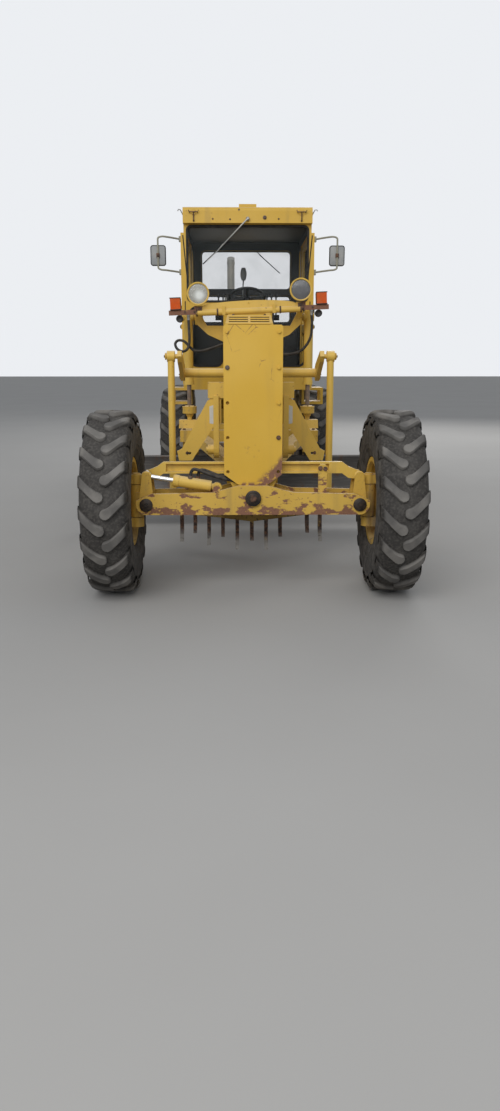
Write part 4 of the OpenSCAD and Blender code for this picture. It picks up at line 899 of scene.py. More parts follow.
def tyre(name, x, behind, finish):
    """A whole tyre in place of the plain one, riding on its wheel."""
    pair = Form().skin(bar(1)).skin(bar(-1)).loose("bars")
    bars = in_ring.mesh_of(pair, finish, Count=LUGS, Centre=(0.0, 0.0, 0.0), Axis=(1.0, 0.0, 0.0),
                           Start=0.05)
    whole = Form().turned(tyre_profile, (0, 0, 0), (1, 0, 0), 72, True)
    whole.mesh.from_mesh(bars.data)
    bpy.data.objects.remove(bars)
    whole.moved(Matrix.Translation(at(x, behind, TYRE_R)))
    body = name.replace("tyre", "wheel")
    return whole.make(name + "_rubber", body, finish, "tyre_rubber", [name])


# %% [markdown]
# ## Wheels
#
# Each rim keeps its CAD shape and only gets its finish, because its dish and its holes
# are already right. The new tyre takes the plain one's place, and ten nuts in a ring
# hold the rim to the hub.

# %% Wheels
NUTS = 10


def dress(node, finish):
    """Gives a CAD part its finish, and leaves its mesh alone."""
    nodes[node].data.materials.clear()
    nodes[node].data.materials.append(finish.material)


for axle, behind, x in WHEELS:
    rubber = tyre_rubber(axle + "_tyre_rubber", AXLE + behind)
    for side, s in (("left", -1), ("right", 1)):
        made = tyre(f"tyre_{axle}_{side}", s * x, behind, rubber)
        dress(f"rim_{axle}_{side}", wheel_paint)
        nuts = round_about(0.150, [2 * math.pi * (i + 0.5) / NUTS for i in range(NUTS)])
        bolt(f"wheel_{axle}_{side}", [at(s * (x + 0.0635), behind + b, TYRE_R + a) for a, b in nuts],
             (s, 0, 0), 0.013)
print("tyres:", len(made.data.polygons), "faces each")

# %% [markdown]
# ## Finishes for the CAD parts
#
# Each CAD part keeps its shape and takes the finish of the real one. One yellow for all
# would look like a toy, so there are several: the axle beam is scraped to rust, the cab
# is cleaner, and whatever works near the ground is dirtier. A list for each finish is
# easier to check against the photograph than a finish for each part.

# %% Finishes for the CAD parts
dressed = {
    plate_paint: ["nose_plate"],
    frame_paint: ["main_frame", "valve_cover", "lift_saddle", "rear_frame"],
    pale_paint: ["scarifier_hanger", "scarifier_levers", "scarifier_links", "lean_bar", "lift_barrels",
                 "lean_barrel"],
    beam_paint: ["axle_beam"],
    dirty_paint: ["lean_housing_left", "lean_housing_right", "knuckle_left", "knuckle_right", "drawbar",
                  "articulation_barrel_left", "articulation_barrel_right", "tandem_cases"],
    cab_paint: ["cab_floor", "cab_frame", "cab_roof"],
    hood_paint: ["engine_hood", "door_left", "door_right"],
    tooth_steel: ["scarifier_beam"],
    blade_steel: ["blade"],
    edge_steel: ["cutting_edge"],
    ring_steel: ["circle"],
    iron: ["engine_block", "tie_rod", "tie_rod_end"],
    black_metal: ["radiator_grille", "cab_fittings"],
    stack_steel: ["exhaust_stack"],
    cab_pane: ["cab_glass", "door_glass_left", "door_glass_right"],
    dull_rod: ["lift_rods"],
    rod_chrome: ["lean_rod", "articulation_rod_left", "articulation_rod_right"],
}
for finish, names in dressed.items():
    for name in names:
        dress(name, finish)
print("dressed:", sum(len(names) for names in dressed.values()), "CAD parts")

# %% [markdown]
# ## Nose and front axle
#
# Five rows of holes cross the nose plate, two in each. Six of the ten still hold a bolt,
# two of them rusty, and the others are empty, as in the photograph. Bolts only need a
# place, a direction and a size here, as the tree makes their heads later.

# %% Bolts of the nose plate
FORWARD, UP = (0, -1, 0), (0, 0, 1)
HOLE_X, LOWEST_HOLE_Z, HOLE_STEP = 0.187, 0.920, 0.252
painted, rusty = ((-1, 4), (1, 4), (1, 3), (1, 2)), ((-1, 3), (1, 1))
for places, finish in ((painted, plate_paint), (rusty, bolt_steel)):
    holes = [at(s * HOLE_X, -0.103, LOWEST_HOLE_Z + HOLE_STEP * row) for s, row in places]
    bolt("front_frame", holes, FORWARD, 0.0125, finish)
print("nose bolts:", len(painted), "painted and", len(rusty), "rusty")

# %% [markdown]
# ## Pins of the front axle
#
# The axle rocks on one thick pin in its middle, and each wheel leans on a pin at the
# beam's end and steers on a kingpin. On the real machine each ends in a greasy head, a
# washer or a cap. They are turned profiles that start just inside the CAD's own pins.

# %% Pins of the front axle
LEAN_PIN_X, KINGPIN_X = 0.795, 0.880
pins = Form()
pins.turned([(-0.006, 0.0), (-0.006, 0.059), (0.009, 0.059), (0.012, 0.055), (0.012, 0.040),
             (0.019, 0.0385), (0.021, 0.034), (0.021, 0.0)], at(0, -0.162, 0.730), FORWARD, 36)
for s in (-1, 1):
    pins.turned([(-0.006, 0.0), (-0.006, 0.049), (0.004, 0.049), (0.007, 0.045), (0.007, 0.0315),
                 (0.0095, 0.027), (0.0095, 0.0)], at(s * LEAN_PIN_X, -0.158, 0.680), FORWARD, 32)
pins.make("axle_pin_heads", "front_frame", greasy_steel, "rusty_steel")
bolt("front_frame", [at(0, -0.183, 0.730)], FORWARD, 0.019)
bolt("front_frame", [at(s * LEAN_PIN_X, -0.1675, 0.680) for s in (-1, 1)], FORWARD, 0.012, greasy_steel)
bolt("front_frame", [at(0.500, -0.113, 0.946), at(0.537, -0.113, 0.942)], FORWARD, 0.013)

for side, s in (("left", -1), ("right", 1)):
    caps = Form()
    for z, up in ((0.833, 1), (0.552, -1)):
        caps.turned([(0.0, 0.0), (0.0, 0.046), (0.010, 0.046), (0.014, 0.041), (0.026, 0.034),
                     (0.032, 0.018), (0.033, 0.0)], at(s * KINGPIN_X, 0, z), (0, 0, up), 28)
    caps.make(f"kingpin_caps_{side}", "housing_" + side, dirty_paint, "yellow_paint")
    screws = round_about(0.036, (0.5, 2.6, 4.7))
    bolt("housing_" + side, [at(s * KINGPIN_X + a, b, 0.8445) for a, b in screws], UP, 0.006)
    heads = Form()
    heads.turned([(0.0, 0.0), (0.0, 0.038), (0.010, 0.038), (0.014, 0.032), (0.014, 0.0)],
                 at(s * LEAN_PIN_X, -0.0765, 0.885), FORWARD, 28)
    heads.make(f"lean_pin_head_{side}", "housing_" + side, pale_paint, "yellow_paint")
    bolt("housing_" + side, [at(s * LEAN_PIN_X, -0.0905, 0.885)], FORWARD, 0.011)
print("pin heads done")

# %% [markdown]
# ## Louvres of the valve cover
#
# Pressed louvres on the cover's sloping front let warm air out and open downwards. Each
# is a bent strip with a black slit under it, painted shade in its opening, both drawn in
# section along the slope and off it, because that is how they would be pressed.

# %% Louvres of the valve cover
UP_SLOPE, OFF_SLOPE = Vector((0.7295, 0.684)), Vector((-0.684, 0.7295))
STRIP = ((-0.004, -0.002), (-0.009, 0.008), (0.000, 0.011), (0.016, -0.002))
# The black slit under each louvre is painted shade in its opening.
SHADE_SLIT = ((-0.013, -0.001), (-0.013, 0.001), (-0.004, 0.001), (-0.004, -0.001))
louvres, shaded_slits = Form(), Form()


def on_slope(step, outline):
    """Points along the slope and off it, as depths and heights."""
    foot = Vector((AXLE + 1.850, 2.070)) + step * UP_SLOPE
    return [foot + a * UP_SLOPE + b * OFF_SLOPE for a, b in outline]


for step in (0.028, 0.058, 0.088):
    for low, high in ((-0.190, -0.012), (0.012, 0.190)):
        louvres.prism(on_slope(step, STRIP), low, high, "X")
        shaded_slits.prism(on_slope(step, SHADE_SLIT), low, high, "X")
louvres.make("cover_louvres", "front_frame", frame_paint, "yellow_paint")
# Black slits: painted shade under the louvres.
shaded_slits.make("cover_louvre_gaps", "front_frame", black_metal, "black_paint")
print("louvres done")

# %% [markdown]
# ## Light bar
#
# The tube is bent and stands higher on one side, as the CAD's does. What sits on it is
# made level and then turned with it, which is easier than working out slanted places.
# Each head lamp is a shell with a bright bowl behind a ribbed glass, so that it looks
# deep, which a painted disc would not.

# %% Head lamps
BAR_Z = 2.190
up_to_bar, down_to_floor = Matrix.Translation((0, 0, BAR_Z)), Matrix.Translation((0, 0, -BAR_Z))
bent = up_to_bar @ Matrix.Rotation(math.radians(-2.3), 4, "Y") @ down_to_floor
LAMP_X = (-0.475, 0.498)
shells, bowls, glasses, rims = Form(), Form(), Form(), Form()
for x in LAMP_X:
    back = at(x, 2.089, 2.362)
    shells.turned([(0.001, 0.0), (0.004, 0.050), (0.018, 0.078), (0.045, 0.096), (0.080, 0.103),
                   (0.118, 0.104)], back, FORWARD, 40)
    rims.turned([(0.112, 0.100), (0.116, 0.1055), (0.136, 0.1055), (0.139, 0.101), (0.137, 0.092),
                 (0.124, 0.090)], back, FORWARD, 40, True)
    bowls.turned([(0.124, 0.094), (0.1215, 0.091), (0.098, 0.078), (0.070, 0.052), (0.060, 0.020),
                  (0.0585, 0.0)], back, FORWARD, 36)
    bowls.turned([(0.060, 0.012), (0.085, 0.011), (0.092, 0.0)], back, FORWARD, 16)
    glasses.turned([(0.126, 0.092), (0.131, 0.075), (0.1345, 0.045), (0.1355, 0.0)], back, FORWARD, 40)
shells.moved(bent).make("lamp_shells", "front_frame", frame_paint, "lamp_yellow", ["lamps"])
rims.moved(bent).make("lamp_rims", "front_frame", pale_paint, "lamp_yellow")
bowls.moved(bent).make("lamp_bowls", "front_frame", reflector, "worn_steel")
glasses.moved(bent).make("lamp_lenses", "front_frame", lens_glass, "cab_glass")
print("head lamps:", len(LAMP_X))

# %% [markdown]
# ## Signals and horns
#
# Each turn signal is an orange lens with nine upright flutes in a black case, and a
# small horn hangs under it. The flutes are a wavy outline given a height, because they
# show in the outline of the lens from above.

# %% Signals and horns
FLUTES, STEPS = 9, 4  # Flutes on a lens, and points on each
lenses, cases, horns = Form(), Form(), Form()
for s in (-1, 1):
    low, high = sorted((s * 0.650, s * 0.746))
    front = [(low + (high - low) * i / (FLUTES * STEPS),
              AXLE + 1.992 - 0.005 * abs(math.sin(math.pi * i / STEPS)))
             for i in range(FLUTES * STEPS + 1)]
    lenses.prism([*front, (high, AXLE + 2.040), (low, AXLE + 2.040)], 2.230, 2.330, "Z")
    cases.box(at(low - 0.005, 2.036, 2.2225), at(high + 0.005, 2.084, 2.3385), 0.012)
    cases.box(at(low - 0.005, 1.988, 2.2225), at(high + 0.005, 2.040, 2.232), 0.003)
    cases.box(at(low - 0.005, 1.988, 2.328), at(high + 0.005, 2.040, 2.3385), 0.003)
    horns.turned([(0.0, 0.012), (0.0, 0.030), (0.012, 0.034), (0.064, 0.034), (0.069, 0.031),
                  (0.069, 0.028), (0.058, 0.026), (0.050, 0.010)],
                 at(s * 0.665, 2.060, 2.1415), FORWARD, 24)
lenses.moved(bent).make("signal_lenses", "front_frame", orange_lens, None)
cases.moved(bent).make("signal_cases", "front_frame", black_metal, "black_paint")
horns.moved(bent).make("horns", "front_frame", black_metal, "black_paint")
print("signals done")

# %% [markdown]
# ## Brackets of the light bar
#
# Clamps and bolts hold the lamps to the tube. The plates that carry the signals have
# lost their paint. As they are part of the same CAD part as the yellow tube, the
# finish changes with the distance from the middle.

# %% Brackets of the light bar
collars = Form()
for x in (-0.498, -0.300, 0.300, 0.498):
    collars.turned([(-0.008, 0.030), (-0.006, 0.035), (0.006, 0.035), (0.008, 0.030)],
                   at(x, 2.020, BAR_Z), (1, 0, 0), 24, True)
for x in LAMP_X:
    collars.box(at(x - 0.030, 1.996, 2.180), at(x + 0.030, 2.005, 2.246), 0.003)
collars.moved(bent).make("light_bar_collars", "front_frame", bracket_rust, "rusty_steel")
bolt("front_frame", [bent @ at(x, 1.994, 2.232) for x in LAMP_X], FORWARD, 0.010)
arm_bolts = [bent @ at(s * x, 2.007, 2.199) for s in (-1, 1) for x in (0.520, 0.610)]
bolt("front_frame", arm_bolts, FORWARD, 0.008)
bolt("front_frame", [at(x, y, 2.1465) for x in (-0.150, 0.150) for y in (1.955, 2.085)], UP, 0.011)


def rusty_arms(f, fine):
    """The arms that carry the signals have lost their paint."""
    arms = abs(f.axis("X")).rise(0.490, 0.505)
    return arms * f.noise(12, 5).rise(0.20, 0.42) * fine.rise(0.1, 0.35)


dress("light_bar", worn_paint("bar_paint", (0.62, 0.40, 0.075), 0.45, 0.4, 9.0, 0.5, rusty_arms))
print("light bar done")

# %% [markdown]
# ## Hydraulic lines
#
# Two hoses run from the light bar's arms down to the frame in front of the cab, and one
# of them makes a loop on its way. A simulated rope would hang slack, while these are
# stiff and keep the shape they were bent to. So they follow the CAD's own routes, with
# more points on a smooth curve between.

# %% Hydraulic lines
# X, distance behind the front axle, and Z
left_route = [
    (-0.5780, 2.020, 2.151), (-0.578, 2.020, 2.100), (-0.575, 2.014, 2.012), (-0.572, 2.004, 1.912),
    (-0.588, 1.998, 1.842), (-0.632, 2.000, 1.812), (-0.687, 2.010, 1.832), (-0.711, 2.025, 1.880),
    (-0.685, 2.035, 1.915), (-0.630, 2.045, 1.910), (-0.580, 2.050, 1.865), (-0.532, 2.055, 1.822),
    (-0.454, 2.070, 1.817), (-0.351, 2.095, 1.847), (-0.273, 2.120, 1.875), (-0.240, 2.140, 1.880),
    (-0.2005, 2.140, 1.880)]
right_route = [
    (0.601, 2.020, 2.199), (0.601, 2.020, 2.150), (0.607, 2.028, 2.062), (0.596, 2.040, 1.950),
    (0.550, 2.060, 1.862), (0.486, 2.085, 1.809), (0.406, 2.110, 1.788), (0.335, 2.130, 1.788),
    (0.260, 2.140, 1.790), (0.2005, 2.140, 1.790)]


def length_of(path):
    return sum((b - a).length for a, b in zip(path, path[1:]))


def hose(name, route, radius):
    """A hose along a route, with a steel ferrule on each end; it gives back the hose's length."""
    path = smooth_path([at(*p) for p in route], 3)
    length = length_of(path)
    ferrules = Form()
    for a, b in ((path[0], path[3]), (path[-1], path[-4])):
        ferrules.turned([(0.000, 0.0165), (0.012, 0.0165), (0.014, 0.0150), (0.046, 0.0150),
                         (0.048, 0.0132)], a, b - a, 12)
    ends = ferrules.make(name + "_ferrules", "front_frame", wiper_metal, "worn_steel")
    piece = Form().tube(path, radius, 12)
    piece = piece.make(name, "front_frame", hose_rubber, "hose_rubber", ["hoses"])
    return length


lengths = [hose("hose_left", left_route, 0.013), hose("hose_right", right_route, 0.013)]
print("hoses:", [round(v, 3) for v in lengths], "m")

# %% [markdown]
# ## Gaskets of the cab
#
# Each pane sits in a black rubber gasket that laps over the edge of its opening. It is
# a flat ring between two rounded outlines, one inside the opening and one outside it,
# at the place of the CAD's own openings in the cab's walls.

# %% Gaskets of the cab
gaskets = Form()
ahead, inward = AXLE + FRONT - 0.006, AXLE + FRONT + 0.018
gaskets.frame((-0.632, 0.632), (2.340, 3.090), 0.045, ahead, inward, 0.010, 0.012)
for s in (-1, 1):
    low_pane = sorted((s * 0.270, s * 0.615))
    gaskets.frame(low_pane, (1.670, 2.280), 0.070, ahead, inward, 0.012, 0.010)
    gaskets.frame((AXLE + 4.110, AXLE + 4.330), (2.150, 3.000), 0.040, s * (SIDE - 0.018),
                  s * (SIDE + 0.005), axis="X")
for z in ((2.180, 2.500), (2.570, 3.020)):
    gaskets.frame((-0.545, 0.545), z, 0.050, AXLE + BACK - 0.018, AXLE + BACK + 0.006)
gaskets.make("cab_gaskets", "front_frame", trim_rubber, "hose_rubber")
print("gaskets done")

# %% [markdown]
# ## Wipers
#
# A motor over the windscreen carries a long arm that stopped halfway down, and a
# smaller wiper hangs behind. An arm is a tube that gets thinner along its points, and
# its rubber a second thin tube that lies on the glass.

# %% Wipers
wiper, rubbers = Form(), Form()
wiper.turned([(0.0, 0.0), (0.0, 0.020), (0.018, 0.020), (0.026, 0.012), (0.034, 0.010), (0.034, 0.0)],
             at(0, 2.871, 3.148), FORWARD, 20)
front_arm = [at(0, 2.846, 3.148), at(-0.02, 2.846, 3.128), at(-0.20, 2.895, 2.957),
             at(-0.322, 2.940, 2.838)]
wiper.tube(front_arm, [0.009, 0.0085, 0.0065, 0.005], 8)
wiper.tube([at(-0.255, 2.930, 2.915), at(-0.322, 2.940, 2.838), at(-0.430, 2.942, 2.742)], 0.004, 6)
rubbers.tube([at(-0.200, 2.948, 2.955), at(-0.470, 2.948, 2.713)], 0.006, 6)
wiper.turned([(0.0, 0.0), (0.0, 0.018), (0.022, 0.018), (0.026, 0.010), (0.026, 0.0)],
             at(0.097, BACK, 3.052), (0, 1, 0), 20)
wiper.tube([at(0.097, BACK + 0.024, 3.052), at(0.270, BACK + 0.020, 2.890)], [0.007, 0.005], 8)
wiper.tube([at(0.160, BACK + 0.014, 2.985), at(0.414, BACK + 0.014, 2.768)], 0.005, 6)
rubbers.tube([at(0.165, BACK + 0.006, 2.981), at(0.414, BACK + 0.006, 2.768)], 0.005, 6)
wiper.make("wipers", "front_frame", wiper_metal, "worn_steel")
rubbers.make("wiper_blades", "front_frame", trim_rubber, "hose_rubber")
print("wipers done")

# %% [markdown]
# ## Header and gutter
#
# The header over the windscreen has two T-shaped brackets, a plug and a few screws, and
# a hook sticks out at each end of the gutter. They are thin rods bent along points. The
# seams where posts and panels meet are thin dark strips, proud by a few millimetres.

# %% Header and gutter
header = Form()
for s in (-1, 1):
    x, z = s * 0.557, 3.216
    header.tube([at(x - 0.052, 2.852, z + 0.016), at(x - 0.044, 2.852, z - 0.002),
                 at(x + 0.044, 2.852, z - 0.002), at(x + 0.052, 2.852, z + 0.016)], 0.005, 6)
    header.tube([at(x, 2.866, z - 0.004), at(x, 2.858, z - 0.010), at(x, 2.862, z - 0.085)], 0.006, 6)
    for end in (-0.040, 0.040):
        header.tube([at(x + end, 2.880, z - 0.002), at(x + end, 2.852, z - 0.002)], 0.005, 6)
header.make("header_brackets", "front_frame", bracket_rust, "rusty_steel")
hooks = Form()
for s in (-1, 1):
    hooks.tube([at(s * 0.668, 2.905, 3.190), at(s * 0.680, 2.903, 3.215), at(s * 0.695, 2.900, 3.240),
                at(s * 0.712, 2.898, 3.243), at(s * 0.722, 2.897, 3.228)], 0.0055, 8)
hooks.make("gutter_hooks", "front_frame", wiper_metal, "worn_steel")
screws = ((-0.090, 3.239), (-0.182, 3.146), (-0.36, 3.150), (0.32, 3.150))
bolt("front_frame", [at(x, 2.880, z) for x, z in screws], FORWARD, 0.007)
bolt("front_frame", [at(0.176, 2.878, 3.163)], FORWARD, 0.015)
bolt("front_frame", [at(s * 0.557, 2.874, 3.131) for s in (-1, 1)], FORWARD, 0.007)

seams = Form()
for s in (-1, 1):
    top, foot = (s * 0.676, 3.000), (s * 0.628, 2.470)
    corners = ((*top, -0.006), (*top, 0.006), (*foot, 0.005), (*foot, -0.005))
    seams.skin([[at(x + aside, y, z) for x, z, aside in corners]
                for y in (FRONT - 0.002, FRONT + 0.004)])
    seams.box(at(s * 0.662 - 0.005, FRONT - 0.003, 1.560), at(s * 0.662 + 0.005, FRONT + 0.004, 2.340),
              0.0)
seams.make("post_seams", "front_frame", trim_rubber, "hose_rubber")
print("header done")

# %% [markdown]
# ## Doors
#
# The doors swing, so their gaskets, handles, locks and hinge bolts ride on the door's
# own body and turn with it, while the long rail behind each door stays on the cab. Both
# come from one loop, in which s is -1 on the left and 1 on the right.

# %% Doors
for side, s in (("left", -1), ("right", 1)):
    rims, handle = Form(), Form()
    for z in ((2.130, 2.950), (1.630, 2.040)):
        rims.frame((AXLE + 3.170, AXLE + 3.930), z, 0.045, s * 0.680, s * 0.7005, axis="X")
    rims.make(f"door_gaskets_{side}", "door_" + side, trim_rubber, "hose_rubber")
    grip = [at(s * 0.690, 3.125, 2.150), at(s * 0.716, 3.125, 2.158), at(s * 0.718, 3.125, 2.290),
            at(s * 0.690, 3.125, 2.298)]
    handle.tube(smooth_path(grip, 4), 0.008, 8)
    handle.turned([(0.0, 0.0), (0.0, 0.017), (0.008, 0.017), (0.010, 0.012), (0.010, 0.0)],
                  at(s * 0.722, 3.125, 2.085), (s, 0, 0), 18)
    handle.make(f"door_handle_{side}", "door_" + side, black_metal, "black_paint")
    hinge_bolts = [at(s * 0.695, y, z) for z in (1.860, 2.760) for y in (3.960, 3.985)]
    bolt("door_" + side, hinge_bolts, (s, 0, 0), 0.007)
    rail = Form()
    posts = [at(s * 0.700, 4.060, 1.700), at(s * 0.740, 4.060, 1.712), at(s * 0.742, 4.060, 2.380),
             at(s * 0.700, 4.060, 2.392)]
    rail.tube(smooth_path(posts, 5), 0.011, 10)
    rail.make("cab_rail_" + side, "front_frame", black_metal, "black_paint")
print("doors done")

# %% [markdown]
# ## Mirrors
#
# Each mirror hangs on a bent tube that leaves the cab's front post, runs down past the
# mirror and comes back. The photograph shows their grey backs, so the glass is turned
# towards the driver, and each back has a clamp and a screw in its middle.

# %% Mirrors
tubes, backs, mirror_rims, mirrors, clamps = Form(), Form(), Form(), Form(), Form()
for s in (-1, 1):
    x = s * 0.930
    for z in (2.965, 2.635):
        tubes.box(at(s * 0.7105 - 0.009, 2.957, z - 0.028), at(s * 0.7105 + 0.011, 3.003, z + 0.028),
                  0.004)
    upper = [at(s * 0.712, 2.980, 2.965), at(s * 0.760, 2.950, 2.970), at(s * 0.850, 2.872, 2.974),
             at(x - s * 0.035, 2.861, 2.974), at(x - s * 0.004, 2.860, 2.960), at(x, 2.860, 2.925)]
    lower = [at(x, 2.860, 2.690), at(x - s * 0.004, 2.860, 2.662), at(x - s * 0.035, 2.861, 2.648),
             at(s * 0.850, 2.872, 2.645), at(s * 0.760, 2.950, 2.640), at(s * 0.712, 2.980, 2.635)]
    tubes.tube(smooth_path([*upper, at(x, 2.860, 2.800), *lower], 4), 0.0095, 10)
    outline = rounded((x - 0.078, x + 0.078), (2.690, 2.890), 0.024)
    small = rounded((x - 0.066, x + 0.066), (2.702, 2.878), 0.020)
    rings = ((outline, 2.897), (outline, 2.880), (small, 2.8735))
    backs.skin([[across("Y", p, AXLE + y) for p in ring] for ring, y in rings])
    mirror_rims.frame((x - 0.078, x + 0.078), (2.690, 2.890), 0.024, AXLE + 2.876, AXLE + 2.899, 0.007,
                      0.002)
    mirrors.prism(rounded((x - 0.071, x + 0.071), (2.697, 2.883), 0.020), AXLE + 2.8975, AXLE + 2.8988)
    clamps.box(at(x - 0.017, 2.850, 2.770), at(x + 0.017, 2.874, 2.812), 0.004)
    clamps.turned([(0.0, 0.0), (0.0, 0.010), (0.008, 0.010), (0.008, 0.0)], at(x, 2.851, 2.791),
                  FORWARD, 12)
tubes.make("mirror_arms", "front_frame", arm_grey, "worn_steel", ["mirrors"])
backs.make("mirror_backs", "front_frame", mirror_back, "worn_steel")
mirror_rims.make("mirror_rims", "front_frame", trim_rubber, "hose_rubber")
mirrors.make("mirror_glasses", "front_frame", mirror_glass, "worn_steel")
clamps.make("mirror_clamps", "front_frame", bracket_rust, "rusty_steel")
print("mirrors done")

# %% [markdown]
# ## Seat cushions
#
# The seat is foam in vinyl, and shows through the glass. A bevelled block would look
# hard. So each cushion is cut into small cells and blown up a little as cloth, which
# gives it a crown and soft creases, and is then kept within the space of its foam.

# %% Seat cushions
CLOTH_FRAMES = 12


def cushion(name, low, high, crown):
    """A padded block between two corners, swollen as cloth."""
    piece = Form().box(low, high, 0.022).loose(name)
    show(piece)
    cells = piece.modifiers.new("cells", "REMESH")
    cells.mode, cells.voxel_size = "VOXEL", 0.012
    cloth = piece.modifiers.new("cloth", "CLOTH")
    cloth.settings.use_pressure = True
    cloth.settings.uniform_pressure_force = 4.0
    cloth.settings.mass = 0.3
    cloth.settings.effector_weights.gravity = 0.0
    cloth.settings.bending_stiffness = 8.0
    cloth.settings.tension_stiffness = 60.0
    cloth.settings.compression_stiffness = 60.0
    for frame_number in range(1, CLOTH_FRAMES + 1):
        bpy.context.scene.frame_set(frame_number)
    swollen = result_of(piece)
    bpy.context.scene.frame_set(1)
    for v in swollen.vertices:
        for axis in range(3):
            v.co[axis] = min(max(v.co[axis], low[axis] - crown), high[axis] + crown)
    swollen.polygons.foreach_set("use_smooth", [True] * len(swollen.polygons))
    swollen.materials.append(vinyl.material)
    piece.data = swollen
    return settle(piece, "front_frame", ["seat_pad"])


cushion("seat_cushion", at(-0.235, 3.600, 1.855), at(0.235, 3.985, 1.952), 0.008)
cushion("seat_back", at(-0.215, 3.975, 1.965), at(0.215, 4.068, 2.480), 0.008)
piping = Form()
for z in (1.872, 1.936):
    edge = rounded((-0.236, 0.236), (AXLE + 3.599, AXLE + 3.986), 0.030)
    piping.tube([(x, y, z) for x, y in [*edge, edge[0]]], 0.005, 6)
edge = rounded((-0.216, 0.216), (1.966, 2.479), 0.030)
piping.tube([(x, AXLE + 3.976, z) for x, z in [*edge, edge[0]]], 0.005, 6)
piping.make("seat_piping", "front_frame", trim_rubber, "hose_rubber")
print("seat done")

# %% [markdown]
# ## Behind the windscreen
#
# A grey paddle on a stalk stands behind the seat, and a row of round knobs on each side
# of the wheel ends the CAD's levers. Both are small and seen through glass, so a tube
# of changing thickness and a turned profile are enough.

# %% Behind the windscreen
paddle = Form()
paddle.tube([at(-0.045, 4.090, 2.470), at(-0.042, 4.095, 2.560), at(-0.034, 4.100, 2.660)],
            [0.006, 0.006, 0.010], 8)
oval = [at(-0.034, 4.100, 2.655 + 0.142 * i / 12) for i in range(13)]
widths = [0.012 + 0.027 * math.sin(math.pi * min(1, (i + 1) / 14)) ** 0.7 for i in range(13)]
paddle.tube(oval, widths, 12)
paddle.make("seat_paddle", "front_frame", mirror_back, "black_paint")
knobs = Form()
for s in (-1, 1):
    for i in range(4):
        x = s * (0.165 + 0.050 * i)
        knobs.turned([(0.0, 0.0), (0.0, 0.010), (0.008, 0.017), (0.022, 0.0185), (0.032, 0.014),
                      (0.036, 0.0)], at(x, 3.250, 2.402), UP, 16)
knobs.make("lever_knobs", "front_frame", knob_black, "black_paint")
print("cab done")

# %% [markdown]
# ## Scarifier and lift cups
#
# Levers and lift rods carry their own pin heads, caps and bolts, and each piece
# rides on the body it is bolted to, so nothing is left behind when a joint moves. The
# guide plates of the scarifier have pale reflector strips.

# %% Scarifier and lift cups
strips = Form()
for s in (-1, 1):
    strips.prism([(s * 0.348, 1.352), (s * 0.348, 1.212), (s * 0.306, 1.206), (s * 0.306, 1.366)],
                 AXLE + 0.7985, AXLE + 0.8005)
strips.make("reflector_strips", "front_frame", pale_steel, "worn_steel")
bolt("front_frame", [at(s * 0.540, 0.798, 0.965) for s in (-1, 1)], FORWARD, 0.010)

levers = Form()
cap_bolts = round_about(0.036, (0.4, 1.97, 3.54, 5.11))
for s in (-1, 1):
    levers.turned([(0.0, 0.0), (0.0, 0.030), (0.008, 0.030), (0.012, 0.024), (0.012, 0.0)],
                  at(s * 0.708, 0.920, 1.760), (s, 0, 0), 20)
    levers.turned([(0.0, 0.0), (0.0, 0.055), (0.010, 0.058), (0.018, 0.058), (0.018, 0.0)],
                  at(s * 0.606, 1.320, 1.620), (s, 0, 0), 28)
    bolt("scarifier_levers", [at(s * 0.7205, 0.920, 1.760)], (s, 0, 0), 0.010)
    bolt("scarifier_levers", [at(s * 0.625, 1.320 + a, 1.620 + b) for a, b in cap_bolts], (s, 0, 0),
         0.007)
levers.make("lever_pin_heads", "scarifier_levers", dirty_paint, "yellow_paint")

caps = Form()
cap_bolts = round_about(0.060, [2 * math.pi * (k + 0.5) / 6 for k in range(6)])
for s in (-1, 1):
    caps.turned([(0.0, 0.0725), (0.006, 0.0745), (0.010, 0.072), (0.018, 0.045), (0.020, 0.0225)],
                at(s * 0.600, 2.350, 1.264), UP, 32)
    bolt("lift_rods", [at(s * 0.600 + a, 2.350 + b, 1.276) for a, b in cap_bolts], UP, 0.007)
caps.make("lift_cup_caps", "lift_rods", dirty_paint, "yellow_paint")
print("scarifier levers and lift cups done")

# %% [markdown]
# ## Lean cylinder
#
# The cylinder that leans the wheels has a gland where its rod goes in, and two ports
# with short hoses. The hoses end behind the nose plate, and the cylinder hardly moves
# against it, so they ride on the frame. Their length is measured along the path.

# %% Lean cylinder
PORTS = ((-0.080, 0.0), (-0.045, 0.055))  # Distance behind the axle, and shift along the barrel
along = Vector((-0.525, 0, 0.085)).normalized()
gland = Form()
gland.turned([(0.0, 0.0425), (0.0, 0.047), (0.034, 0.047), (0.038, 0.043), (0.044, 0.043),
              (0.044, 0.024), (0.0, 0.024)],
             at(-0.270, -0.0625, 0.800) + along * 0.288, along, 28, True)
gland.make("lean_gland", "lean_barrel", pale_paint, "yellow_paint")
ports = Form()
for depth, shift in PORTS:
    ports.turned([(0.0, 0.0), (0.0, 0.017), (0.020, 0.017), (0.022, 0.012), (0.048, 0.012), (0.048, 0.0)],
                 at(-0.470 + shift, depth, 0.868 - shift * 0.16), (0.2, 0, 1), 12)
ports.make("lean_ports", "lean_barrel", bolt_steel, "rusty_steel")

